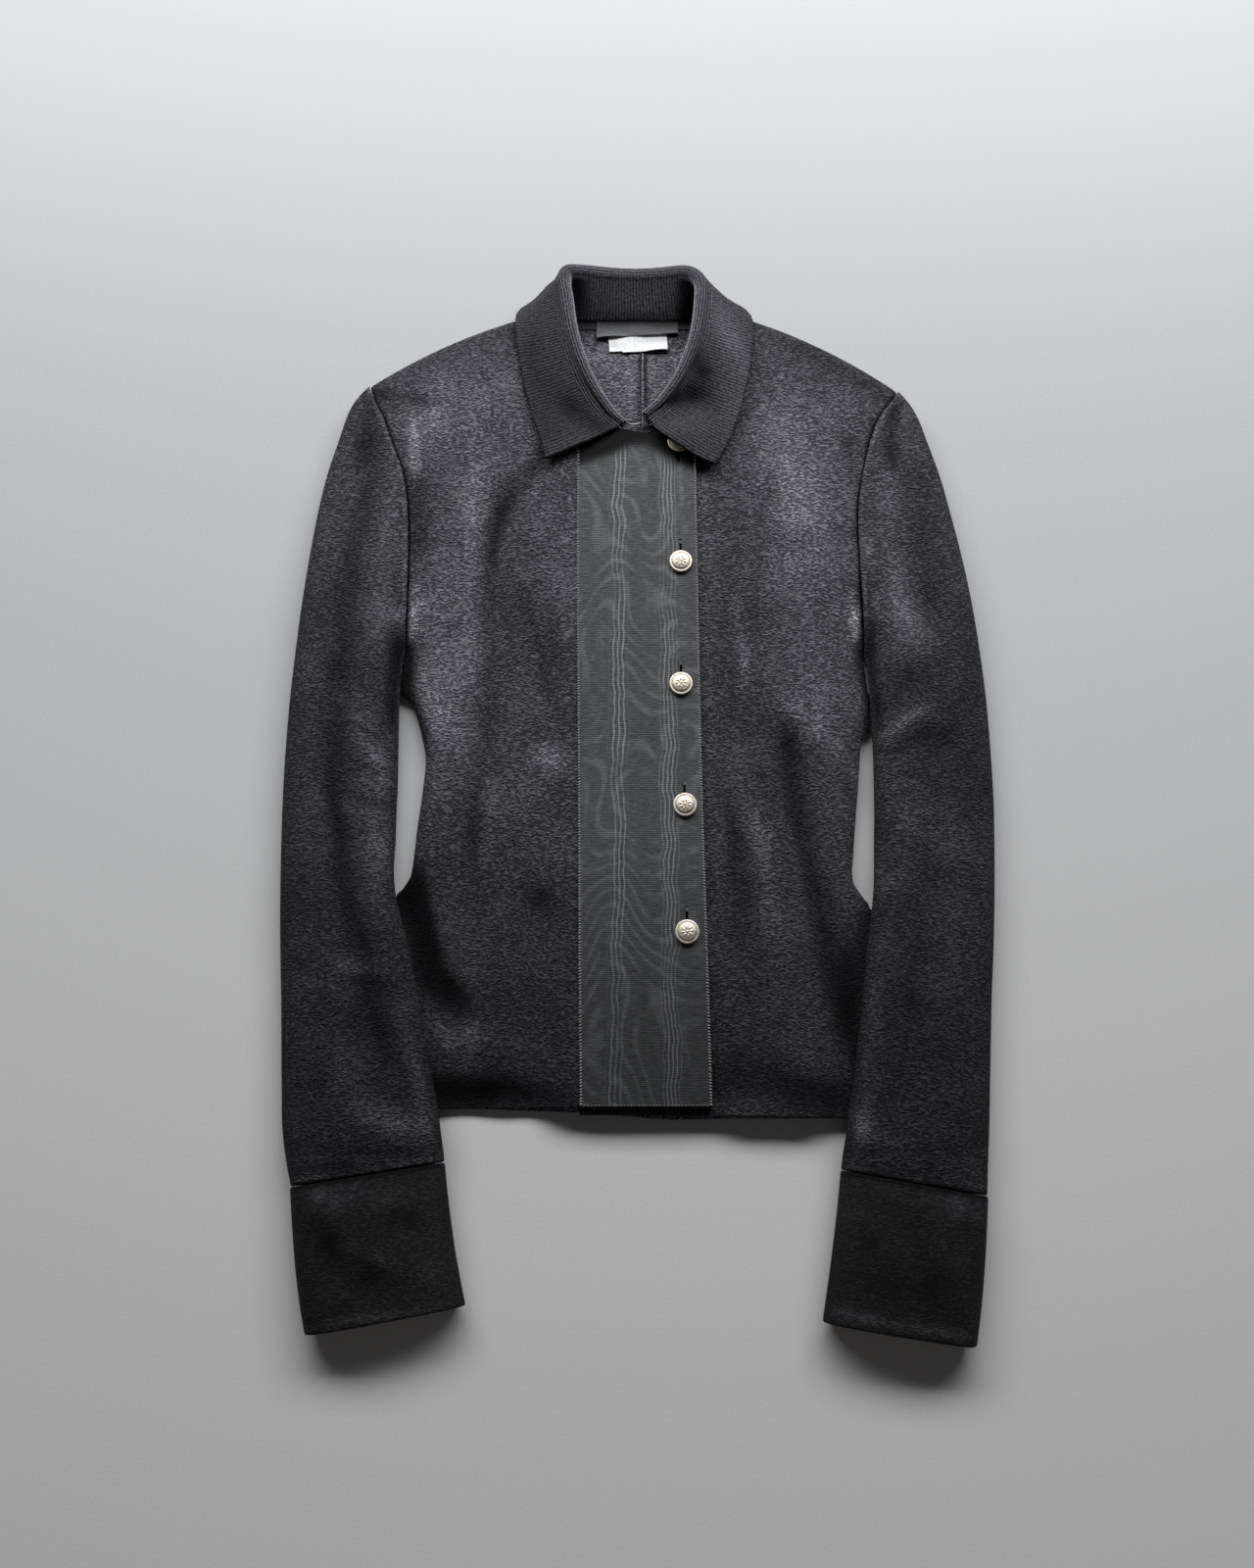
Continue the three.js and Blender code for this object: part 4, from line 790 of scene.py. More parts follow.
def slit_span(i):
    top = BUTTONS["y"][i] + BUTTONS["slitAbove"][i] + SLIT_LENGTH / 2
    return top - SLIT_LENGTH, top


def neckline_y(x):
    rows = {name: column[NECK_FRONT_ROWS] for name, column in FRONT_ROWS[-1].items()}
    return row_at(rows, "x", x)["y"]


def ribbon_grid(lift):
    """Points of the ribbon's face, and which of its squares are slits."""
    bottom, top = RIBBON_EDGES["y"][0], RIBBON_EDGES["y"][-1]
    marks = [bottom, *sorted(y for i in range(size_of(BUTTONS)) for y in slit_span(i) if y < top), top]
    stretches = [
        spaced(a, b, 2.2, k == 0, k == len(marks) - 2) for k, (a, b) in enumerate(zip(marks, marks[1:]))
    ]
    v = np.unique(np.concatenate(stretches).round(4))
    v = (v - bottom) / (top - bottom)
    row = row_at(RIBBON_EDGES, "y", mix(bottom, top, v))
    left, right = row["left"], row["right"] - RIBBON_INSET
    slit = np.interp(mix(bottom, top, v), BUTTONS["y"][::-1], BUTTONS["x"][::-1])
    parts = (
        (left, slit - SLIT_WIDTH / 2, spaced(0, 70, 2.2, True, False) / 70),
        (slit - SLIT_WIDTH / 2, slit + SLIT_WIDTH / 2, np.array([0, 0.5, 1])),
        (slit + SLIT_WIDTH / 2, right, spaced(0, 12, 1.3, False, True) / 12),
    )
    x = np.concatenate([
        mix(a[:, None], b[:, None], t[None, :])[:, (1 if k else 0):] for k, (a, b, t) in enumerate(parts)
    ], axis=1)
    hem = np.interp(x, HEM_FRONT_RIGHT["x"], HEM_FRONT_RIGHT["y"]) + RIBBON_INSET
    y = mix(hem, neckline_y(x) - RIBBON_INSET, v[:, None])
    (large, large_size, large_seed), small = RIBBON_LUMPS
    dent = large * waves(x * 1.6, y, large_size, large_seed) + lumps((small,), x, y)
    holes = np.zeros((x.shape[0] - 1, x.shape[1] - 1), bool)
    first = len(parts[0][2]) - 1
    centre = (y[1:, first] + y[:-1, first]) / 2
    for i in range(size_of(BUTTONS)):
        low, high = slit_span(i)
        holes[(centre > low) & (centre < high), first:first + 2] = True
    return np.stack([x, y, overlap_top(x, y) + lift + dent], axis=2), holes


def back_grid(side):
    """Both faces of a back half: squares between the centre seam and the outline, and the painted light and
    shade (tone) there.
    """
    edge, hole = BODY_EDGE[side], ARMHOLE[side]
    lower = between(edge, np.concatenate([[0, 0.01, 0.03, 0.06], np.arange(0.15, size_of(edge) - 1, 0.16)]))
    upper = between(hole, np.arange(0, size_of(hole) - 1, 0.16))
    neck, tip = SHOULDER[side]
    along = 1 - np.concatenate([np.arange(0, 0.97, 0.035), [0.985, 1]])
    bow = shoulder_bow(along) / math.cos(SHOULDER_SLOPE)
    shoulder_x, shoulder_y = mix(neck[0], tip[0], along), mix(neck[1], tip[1], along) + bow
    out_x = np.concatenate([lower["x"], upper["x"], shoulder_x])
    out_y = np.concatenate([lower["y"], upper["y"], shoulder_y])
    seam_x = BACK_SEAM_X + side * GAP / 2
    progress = np.concatenate([[0], np.cumsum(np.hypot(np.diff(out_x), np.diff(out_y)))])
    in_y = mix(HEM_REST_Y, NECK_BACK["y"][0], progress / progress[-1])
    span = 180
    t = spaced(0, span, 5) / span
    x = mix(seam_x, out_x[:, None], t)
    y = mix(in_y[:, None], out_y[:, None], t)
    share = (progress / progress[-1])[:, None]
    neck_y = np.interp(np.abs(x), NECK_BACK["x"], NECK_BACK["y"])
    y = np.where(share > 0.985, np.maximum(y, 0) + (neck_y - y) * smooth(0.985, 1, share), y)
    hem_y = np.interp(x, HEM_BACK["x"], HEM_BACK["y"])
    y = y + (hem_y - y) * smooth(0.03, 0, share)
    fine, tone = creases(BACK_CREASES, x, y)
    lift = smooth(8, 30, distance_to_side(x, y)) * np.maximum(0, fine)
    from_seam = np.abs(x - BACK_SEAM_X)
    # Painted light: the back is painted lighter all over, where its inside lies open to the light at the
    # neck; painted shade in lines beside the seam ridge
    tone = tone + BACK_TONE + BACK_SEAM_TONE * hump(from_seam - 1.5, 0.7)
    top = np.stack([x, y, CLOTH + lift], axis=2)
    low = np.stack([x, y, lift], axis=2)
    return top, low, tone


# Sleeves
def rest_height(x, y, side):
    """How high the body lifts a sleeve or cuff that lies on it."""
    edge = np.abs(outer_x(side, np.clip(y, HEM_REST_Y, 60)))
    inside = smooth(-52, -2.5, edge - np.abs(x))
    above_hem = smooth(HEM_REST_Y - 25, HEM_REST_Y - 3, y)
    below_waist = smooth(-38, -74, y)
    return (open_height(x, np.maximum(y, HEM_REST_Y)) + SLEEVE_AIR) * inside * above_hem * below_waist


def closed_section(count):
    """Places round the section, evenly numbered between its rows."""
    ring = {
        name: np.concatenate([column[-2:], column, column[:3]]) for name, column in SLEEVE_SECTION.items()
    }
    return between(ring, 2 + np.arange(count) * size_of(SLEEVE_SECTION) / count)


def sleeve_grids(rows, side, at, thickness, fine_rows, count=114):
    """Outer and inner points of a sleeve or a cuff, row by row down the arm, and the painted light and shade
    (tone) there.
    """
    hole, first = ARMHOLE[side], {name: column[0] for name, column in rows.items()}
    last_hole = size_of(hole) - 1
    row = {name: column[:, None] for name, column in between(rows, at).items()}
    section = closed_section(count)
    across, up = section["across"][None, :], section["up"][None, :]

    def place(t):
        x = mix(row["outerX"], row["innerX"], t)
        y = mix(row["outerY"], row["innerY"], t)
        follow = between(hole, last_hole * np.clip(1 - t, 0, 1))
        x = x + row["bow"] * (follow["x"] + side * SEAM_GAP - mix(first["outerX"], first["innerX"], t))
        y = y + row["bow"] * (follow["y"] - mix(first["outerY"], first["innerY"], t))
        return x, y

    width = np.hypot(row["outerX"] - row["innerX"], row["outerY"] - row["innerY"]) * (1 + 0.06 * row["bow"])
    x, y = place(across)
    rest = rest_height(x, y, side)
    number = np.arange(count) * size_of(SLEEVE_SECTION) / count
    on_top = smooth(0, 1.2, number) * smooth(10, 8.8, number)
    free = smooth(0, 0.4, 1 - row["bow"])
    fine, tone = creases(fine_rows, x, y)
    crease = on_top * free * (folds(SLEEVE_FOLDS, x, y) + fine + lumps(SLEEVE_LUMPS, x, y))
    z = rest + row["height"] * mix(1, 0.82, smooth(1, 8, rest)) * up + crease
    cap = mix(z, front_top(x, y) + CAP_RIDGE, smooth(0, 1, row["bow"]))
    z = mix(z, cap, smooth(0.26, 0.34, up))
    # The seam's own edge: a low ridge along the armhole, and above the cuff
    if thickness == CLOTH:
        lip, reach, from_seam = ARMHOLE_LIP
        near = hump(distance_to_armhole(x, y, side) - from_seam, reach)
        seam = lip * seam_strength(y, side) * smooth(100, 150, y) * near
        to_end = (size_of(rows) - 1 - at[:, None]) * SLEEVE_ROW_STEP
        lip, reach, from_seam = CUFF_LIP
        seam = seam + lip * hump(to_end - from_seam, reach)
        # Painted highlight on the seam ridges, and painted shade in the groove at the sleeve's end
        tone = tone + LIP_TONE * seam + SLEEVE_END_TONE * hump(to_end, 1.1)
    else:
        seam = 0
        # Painted shade in the groove along the cuff's top edge
        tone = tone + CUFF_TOP_TONE * hump(at[:, None] * CUFF_ROW_STEP, 1.9)
    z = z + 0.8 * seam * on_top
    z = z + (1 - on_top) * np.maximum(0, 0.35 * waves(x, y, 40, 33)) * smooth(3, 1, up * row["height"])
    outer = np.stack([x, y, z], axis=2)
    flat_x = across * width
    along_x = np.roll(flat_x, -1, 1) - np.roll(flat_x, 1, 1)
    along_z = np.roll(z, -1, 1) - np.roll(z, 1, 1)
    length = np.maximum(np.hypot(along_x, along_z), 1e-9)
    inner_x, inner_y = place((flat_x + along_z / length * thickness) / width)
    inner = np.stack([inner_x, inner_y, z - along_x / length * thickness], axis=2)
    return outer, inner, tone * on_top + painted_falloff_tone(y) + SLEEVE_TONE


def row_places(last, step):
    low = np.array([0, 0.008, 0.018, 0.032, 0.055, 0.09])
    return np.concatenate([low, np.arange(0.14, last - 0.12, step), last - low[::-1]])


# Collar
def collar_grids():
    """Both faces of the collar: up the stand, over the fold and down the fall, and the painted light and
    shade (tone) there.
    """
    last = size_of(COLLAR_ROWS) - 1
    ends = np.array([0, 0.012, 0.03, 0.06, 0.1])
    fold_steps = 13
    at = np.concatenate([ends, np.arange(0.16, last - 0.14, 0.115), last - ends[::-1]])
    row = {name: column[:, None] for name, column in between(COLLAR_ROWS, at).items()}
    fold_xy = np.concatenate([row["foldX"], row["foldY"]], axis=1)
    seam_xy = np.concatenate([row["neckX"], row["neckY"]], axis=1)
    edge_xy = np.concatenate([row["edgeX"], row["edgeY"]], axis=1)
    inward = (fold_xy - seam_xy) / np.linalg.norm(fold_xy - seam_xy, axis=1, keepdims=True)
    out = (edge_xy - fold_xy) / np.linalg.norm(edge_xy - fold_xy, axis=1, keepdims=True)
    neck_xy = seam_xy + inward * NECK_GAP
    radius, centre_z = row["radius"], row["foldZ"] - row["radius"]
    stand_xy = fold_xy - out * radius
    # The stand, up from the neck seam
    t = np.concatenate([[0, 0.02, 0.05, 0.09], np.linspace(0.15, 0.94, 14)])
    xy = neck_xy[:, None] + (stand_xy - neck_xy)[:, None] * t[None, :, None]
    level = smooth(0, 1, t) * 0.35 + t * t * 0.65
    z = mix(row["neckZ"], centre_z, level[None, :])
    # The fold, a round turn
    turn = np.radians(np.linspace(6, 168, fold_steps))
    fold_part = fold_xy[:, None] - out[:, None] * (radius * np.cos(turn))[..., None]
    fold_z = centre_z + radius * np.sin(turn)
    # The fall, down to the free edge
    start_xy = fold_xy + out * radius
    t = np.concatenate([np.linspace(0.04, 0.94, 27), [0.965, 0.982, 0.993, 1]])
    fall = start_xy[:, None] + (edge_xy - start_xy)[:, None] * t[None, :, None]
    swing = row["swing"] * np.where(row["neckX"] < 0, 1, -1) * 4 * t * (1 - t)
    fall[..., 0] -= out[:, None, 1] * swing
    fall[..., 1] += out[:, None, 0] * swing
    # The knit's edge runs unevenly
    uneven = np.random.default_rng(8).uniform(-0.55, 0.55, (len(at), 1)) * smooth(0.9, 1, t)
    fall += out[:, None] * uneven[..., None]
    rest = layers_top(fall[..., 0], fall[..., 1]) + COLLAR_CLOTH / 2 + COLLAR_AIR + row["lift"] * t
    fine, fall_tone = creases(COLLAR_CREASES, fall[..., 0], fall[..., 1])
    fall_z = mix(rest, np.maximum(centre_z, rest), (1 - t) ** 1.5)
    fall_z = fall_z + fine * smooth(1, 0.7, t) * smooth(0, 0.12, t)
    middle = np.concatenate([
        np.concatenate([xy, z[..., None]], axis=2), np.concatenate([fold_part, fold_z[..., None]], axis=2),
        np.concatenate([fall, fall_z[..., None]], axis=2),
    ], axis=1)
    away = square_to(middle) * COLLAR_CLOTH / 2
    outer, inner = middle + away, middle - away
    for grid in (outer, inner):
        grid[..., 2] = np.maximum(grid[..., 2], 0.05)
    # Painted highlight on the fall beside the fold's crest
    crest = CREST_TONE * hump(np.linalg.norm(fall - fold_xy[:, None], axis=2), 9)
    # Painted light on the stand, which faces away from the window lamp, and painted shade in the hollows
    # beside the neck
    stand_x = middle[:, : z.shape[1], 0]
    level = np.arange(z.shape[1]) / z.shape[1]
    hollow = smooth(26, 38, stand_x) + smooth(-31, -44, stand_x) * level
    stand_tone = STAND_TONE + HOLLOW_TONE * hollow
    # Painted light fades over the fold; the fall is painted a little darker
    fold_tone = mix(FOLD_TONE, STAND_TONE, smooth(5, 0, np.arange(fold_steps)))
    tone = np.concatenate([
        stand_tone, np.broadcast_to(fold_tone, fold_z.shape), fall_tone + crest + FALL_TONE,
    ], axis=1)
    return outer, inner, tone


# Small things sewn on or lying on the cloth
def tube(path, radius, sides):
    """A thread along a path of points, closed at both ends."""
    path = np.array(path, float)
    ahead = np.gradient(path, axis=0)
    ahead /= np.linalg.norm(ahead, axis=1, keepdims=True)
    across = np.cross(ahead, (0.0, 0.0, 1.0))
    across /= np.maximum(np.linalg.norm(across, axis=1, keepdims=True), 1e-6)
    up = np.cross(across, ahead)
    turn = np.arange(sides) * math.tau / sides
    thick = radius * np.concatenate([[0.45], np.ones(len(path) - 2), [0.45]])
    ring = across[:, None] * np.cos(turn)[None, :, None] + up[:, None] * np.sin(turn)[None, :, None]
    points = (path[:, None] + ring * thick[:, None, None]).reshape(-1, 3)
    faces, count = [], len(path)
    for r in range(count - 1):
        for c in range(sides):
            d = (c + 1) % sides
            faces.append((r * sides + c, r * sides + d, (r + 1) * sides + d, (r + 1) * sides + c))
    caps = [tuple(range(sides))[::-1], tuple((count - 1) * sides + c for c in range(sides))]
    return points, faces + caps


def threads(name, paths, radius, material, sides=6, tone=0.0):
    """Many short threads as one piece."""
    points, faces, start = [], [], 0
    for path in paths:
        own_points, own_faces = tube(path, radius, sides)
        points.append(own_points)
        faces.extend(tuple(start + i for i in face) for face in own_faces)
        start += len(own_points)
    return mesh_object(name, np.concatenate(points), faces, material, np.full(start, tone))


def at_point(surface, x, y):
    return float(surface(np.array([[x]]), np.array([[y]]))[0, 0])


def ribbon_top(x, y):
    return at_point(overlap_top, x, y) + GAP + RIBBON


def edge_stitches():
    """Short slanting stitches that hold down the ribbon's two long edges."""
    chance = np.random.default_rng(41)
    paths = []
    for side in (0, 1):
        for y in np.arange(-212.5, 262, 1.9):
            row = row_at(RIBBON_EDGES, "y", min(y, 250.0))
            x = float(row["left"] if side == 0 else row["right"] - RIBBON_INSET)
            if y > float(neckline_y(np.array(x))) - 3:
                continue
            inward = 1 if side == 0 else -1
            y_now = y + chance.uniform(-0.25, 0.25)
            z = ribbon_top(x, y_now)
            paths.append([
                (x + inward * 1.5, y_now + 0.5, z + 0.02), (x + inward * 0.8, y_now + 0.2, z + 0.2),
                (x + inward * 0.1, y_now - 0.2, z - 0.05), (x - inward * 0.15, y_now - 0.4, z - 0.5),
            ])
    return paths


def hem_stitches():
    """Level stitches along the ribbon's hem."""
    paths = []
    for x in np.arange(-34.5, 46, 2.3):
        y = float(np.interp(x, HEM_FRONT_RIGHT["x"], HEM_FRONT_RIGHT["y"])) + RIBBON_INSET + 1.1
        z = ribbon_top(x, y)
        paths.append([
            (x, y, z - 0.05), (x + 0.5, y, z + 0.14), (x + 1.1, y + 0.05, z + 0.14), (x + 1.6, y, z - 0.05),
        ])
    return paths


def bar_tacks():
    """Threads across the upper end of each buttonhole slit that shows."""
    paths = []
    for i in range(1, size_of(BUTTONS)):
        x, top = BUTTONS["x"][i], slit_span(i)[1]
        for k, y in enumerate((top - 0.3, top - 0.9, top - 1.5, top - 2.1)):
            z, half = ribbon_top(x, y), 1.25 - 0.15 * (k % 2)
            paths.append([
                (x - half, y, z - 0.1), (x - 0.5, y, z + 0.2), (x + 0.5, y, z + 0.2), (x + half, y, z - 0.1),
            ])
    return paths


def button_relief(radius, angle, turned):
    """A rosette of eight petals round a knob, inside a ring of beads."""
    petals = 0.5 + 0.5 * math.cos(8 * (angle + turned))
    beads = 0.5 + 0.5 * math.cos(32 * angle)
    rosette = 0.42 * petals * hump(radius - 2.5, 1.1) + 0.5 * hump(radius, 0.75)
    return rosette + 0.2 * beads * hump(radius - 5, 0.45)


def button_piece(i, material):
    """A domed button with a rolled rim and a plain raised rosette."""
    x, y = BUTTONS["x"][i], BUTTONS["y"][i]
    stands_on = ribbon_top(x, y) - BUTTON_SINK
    foot = at_point(front_top, x, y) + GAP - stands_on
    profile = [
        (0.001, foot), (0.7, foot), (1.1, foot + 0.1), (1.1, 0.6), (1.3, 0.9), (3.2, 0.92), (5.6, 1),
        (6.8, 1.15), (7.5, 1.4), (7.85, 1.75), (8, 2.15), (7.92, 2.55), (7.65, 2.85), (7.3, 3.02),
        (6.95, 3.06), (6.6, 3), (6.35, 2.98), (6.1, 3.14), (5.8, 3.42), (5.3, 3.74), (4.8, 3.96), (4.3, 4.11),
        (3.8, 4.22), (3.3, 4.31), (2.8, 4.38), (2.3, 4.44), (1.8, 4.48), (1.3, 4.51), (0.8, 4.53),
        (0.4, 4.54), (0.001, 4.54),
    ]
    down = len(profile)
    bpy.ops.object.select_all(action="DESELECT")
    bpy.ops.mesh.primitive_grid_add(x_subdivisions=96, y_subdivisions=down - 1, size=1)
    made = bpy.context.object
    made.name = made.data.name = f"button_{i + 1}_look"
    bpy.ops.object.mode_set(mode="EDIT")
    shape = bmesh.from_edit_mesh(made.data)
    shape.verts.ensure_lookup_table()
    turned = TURN_BETWEEN_BUTTONS * i
    for vert in shape.verts:
        u, v = vert.co.x + 0.5, vert.co.y + 0.5
        radius, height = profile[min(down - 1, round(v * (down - 1)))]
        angle = u * math.tau
        if height > RELIEF_FROM:
            height += button_relief(radius, angle, turned)
        place = (x + radius * math.cos(angle), y + radius * math.sin(angle), stands_on + height)
        vert.co = [(part + shift) * 0.001 for part, shift in zip(place, SHIFT)]
    bmesh.ops.remove_doubles(shape, verts=shape.verts, dist=2e-6)
    bmesh.ops.recalc_face_normals(shape, faces=shape.faces)
    bmesh.update_edit_mesh(made.data)
    bpy.ops.object.mode_set(mode="OBJECT")
    bpy.ops.object.shade_smooth()
    made.data.materials.append(material)
    return made


def strip(name, width, depth, x, y, z, thickness, material, tilt=0.0, sag=0.25, seed=1, notch=0.0, slant=0.0):
    """A small woven label or tape, slightly uneven, with soft edges."""
    u = spaced(-width / 2, width / 2, 1.2)
    v = spaced(-depth / 2, depth / 2, 0.9)
    gx, gy = np.meshgrid(u, v)
    lift = sag * (0.5 + 0.5 * waves(gx, gy * 1.5, 22, seed))
    edge = np.clip(0.5 - gy / depth, 0, 1)
    lift = np.maximum(lift, 0) * (0.15 + 0.85 * edge**2)
    c, s = math.cos(tilt), math.sin(tilt)
    # The lower edge steps up by the notch at one end, and runs at a slant
    cut = np.where(gx < -width * 0.29, notch, 0) * smooth(0.7, 1, edge) + slant * (gx / width + 0.5) * edge
    px, py = x + gx * c - (gy + cut) * s, y + gx * s + (gy + cut) * c
    top = np.stack([px, py, z + thickness + lift], axis=2)
    low = np.stack([px, py, z + lift * 0.96], axis=2)
    return shell(name, top, low, material, radius=0.25)


# Materials
def connect(tree, socket, value):
    if isinstance(value, bpy.types.NodeSocket):
        tree.links.new(value, socket)
    else:
        socket.default_value = value


def node(tree, kind, inputs=None, **settings):
    made = tree.nodes.new("ShaderNode" + kind)
    for key, value in settings.items():
        setattr(made, key, value)
    for key, value in (inputs or {}).items():
        connect(tree, made.inputs[key], value)
    return made


def calculate(tree, operation, *values, clamp=False):
    made = node(tree, "Math", operation=operation, use_clamp=clamp)
    for socket, value in zip(made.inputs, values):
        connect(tree, socket, value)
    return made.outputs[0]


def plus(tree, first, *others):
    for other in others:
        first = calculate(tree, "ADD", first, other)
    return first


def times(tree, first, second, clamp=False):
    return calculate(tree, "MULTIPLY", first, second, clamp=clamp)


def blend_colors(tree, factor, first, second):
    return node(tree, "Mix", {0: factor, 6: first, 7: second}, data_type="RGBA").outputs[2]


def ramp(tree, value, low, high):
    return node(tree, "MapRange", {0: value, 1: low, 2: high}, interpolation_type="SMOOTHSTEP").outputs[0]


def object_place(tree):
    return node(tree, "TexCoord").outputs["Object"]


def along_axes(tree, place):
    return node(tree, "SeparateXYZ", {0: place}).outputs


def noise(tree, place, scale, detail, roughness=0.5):
    inputs = {"Vector": place, "Scale": scale, "Detail": detail, "Roughness": roughness}
    return node(tree, "TexNoise", inputs).outputs[0]


def stretched_noise(tree, place, fineness, detail, roughness=0.5):
    """Noise with its own fineness along each axis."""
    place = node(tree, "Mapping", {"Vector": place, "Scale": fineness}).outputs[0]
    return noise(tree, place, 1.0, detail, roughness)


def stripes(tree, place, pitch):
    """Even waves from -1 to 1 along one axis, a pitch apart."""
    return calculate(tree, "SINE", times(tree, place, math.tau / pitch))


def wandering(tree, place, scale, detail, reach):
    """The place moved about a little, so that what is laid on it doesn't run straight."""
    bend = node(tree, "TexNoise", {"Vector": place, "Scale": scale, "Detail": detail}).outputs["Color"]
    offset = node(tree, "VectorMath", {0: bend, 1: (0.5, 0.5, 0.5)}, operation="SUBTRACT").outputs[0]
    moved = node(tree, "VectorMath", {0: offset, "Scale": reach}, operation="SCALE").outputs[0]
    return node(tree, "VectorMath", {0: place, 1: moved}, operation="ADD").outputs[0]


def new_group(name, inputs, outputs):
    tree = bpy.data.node_groups.new(name, "ShaderNodeTree")
    for way, sockets in (("INPUT", inputs), ("OUTPUT", outputs)):
        for title, kind in sockets.items():
            tree.interface.new_socket(title, in_out=way, socket_type="NodeSocket" + kind)
    return tree, tree.nodes.new("NodeGroupInput").outputs, tree.nodes.new("NodeGroupOutput").inputs


def use_group(tree, group, inputs):
    made = tree.nodes.new("ShaderNodeGroup")
    made.node_tree = group
    for key, value in inputs.items():
        connect(tree, made.inputs[key], value)
    return made.outputs


def felt_group():
    """Boiled wool: curled nap in short level streaks, finer fibres, and slow patches."""
    tree, start, end = new_group("felt", {"Vector": "Vector"}, {"Height": "Float", "Patch": "Float"})
    place = wandering(tree, start[0], 170.0, 1.0, 0.004)
    curls = ramp(tree, stretched_noise(tree, place, (340.0, 800.0, 560.0), 2.5, 0.55), 0.3, 0.72)
    fibres = noise(tree, place, 2100.0, 2.0, 0.6)
    connect(tree, end[0], plus(tree, times(tree, curls, 0.66), times(tree, fibres, 0.42)))
    connect(tree, end[1], noise(tree, start[0], 22.0, 3.0))
    return tree


def weave_group():
    """Threads over and under each other, with a fine unevenness."""
    tree, start, end = new_group("weave", {"Vector": "Vector", "Pitch": "Float"}, {"Height": "Float"})
    parts = along_axes(tree, start[0])
    turns = calculate(tree, "DIVIDE", math.tau, start[1])
    over, down = (calculate(tree, "SINE", times(tree, part, turns)) for part in parts[:2])
    threads_height = times(tree, times(tree, over, down), 0.25)
    connect(tree, end[0], plus(tree, threads_height, noise(tree, start[0], 700.0, 2.0)))
    return tree


def tone_group():
    """A colour made lighter or darker by the painted light and shade in the tone attribute, where 1 is nine
    times as light.
    """
    tree, start, end = new_group("painted_light_and_shade", {"Color": "Color"}, {"Color": "Color"})
    tone = node(tree, "Attribute", attribute_name="tone").outputs["Fac"]
    factor = calculate(tree, "POWER", 9.0, tone)
    scaled = node(tree, "VectorMath", {0: start[0], "Scale": factor}, operation="SCALE").outputs[0]
    connect(tree, end[0], scaled)
    return tree


felt, weave, painted_light_and_shade = felt_group(), weave_group(), tone_group()


def toned(tree, color):
    return use_group(tree, painted_light_and_shade, {"Color": color})[0]


def grey(value, warm=0.0):
    return (value * (1 + warm), value, value * (1 - warm), 1)


def material(name, roughness, sheen=0.0, sheen_roughness=0.5, specular=0.5, metallic=0.0, tint=(1, 1, 1, 1)):
    made = bpy.data.materials.new(name)
    made.use_nodes = True
    shader = made.node_tree.nodes["Principled BSDF"]
    plain = {
        "Roughness": roughness, "Metallic": metallic, "Specular IOR Level": specular,
        "Sheen Weight": sheen, "Sheen Roughness": sheen_roughness, "Sheen Tint": tint,
    }
    for socket, value in plain.items():
        shader.inputs[socket].default_value = value
    return made, made.node_tree, shader


def finish_material(tree, shader, color, height, strength, distance):
    connect(tree, shader.inputs["Base Color"], color)
    bump = node(tree, "Bump", {"Height": height, "Strength": strength, "Distance": distance})
    connect(tree, shader.inputs["Normal"], bump.outputs[0])


def wool(name, dark, light, sheen, depth=0.0036, strength=1.0):
    made, tree, shader = material(name, 0.92, sheen, 0.42, WOOL_SPECULAR, tint=WOOL_TINT)
    height, patch = use_group(tree, felt, {"Vector": object_place(tree)})[:2]
    shade = plus(tree, height, times(tree, calculate(tree, "SUBTRACT", patch, 0.5), 0.55))
    color = blend_colors(tree, ramp(tree, shade, 0.28, 0.88), dark, light)
    finish_material(tree, shader, toned(tree, color), height, strength, depth)
    return made


def knit(name, dark, light, sheen):
    """Collar knit: ribs along the collar beside its fold, short stitch rows across it elsewhere."""
    made, tree, shader = material(name, 0.9, sheen, 0.45, WOOL_SPECULAR, tint=WOOL_TINT)
    uv = node(tree, "UVMap", uv_map="UVMap").outputs[0]
    place = wandering(tree, uv, 230.0, 2.0, 0.0016)
    from_fold, along = along_axes(tree, place)[:2]
    ribs, rows = stripes(tree, from_fold, RIB_PITCH), stripes(tree, along, STITCH_ROW_PITCH)
    dashes = times(tree, rows, plus(tree, 0.62, times(tree, ribs, 0.38)))
    ribbed = times(tree, ramp(tree, from_fold, -0.003, -0.001), ramp(tree, from_fold, 0.0135, 0.0105))
    pattern = node(tree, "Mix", {0: ribbed, 2: dashes, 3: ribs}, data_type="FLOAT").outputs[0]
    fuzz, clumps = noise(tree, place, 1000.0, 2.5, 0.65), noise(tree, place, 420.0, 1.5)
    height = plus(tree, times(tree, pattern, 0.17), times(tree, fuzz, 0.55), times(tree, clumps, 0.45))
    color = blend_colors(tree, ramp(tree, height, 0.22, 0.82), dark, light)
    finish_material(tree, shader, toned(tree, color), height, 0.9, 0.0016)
    return made


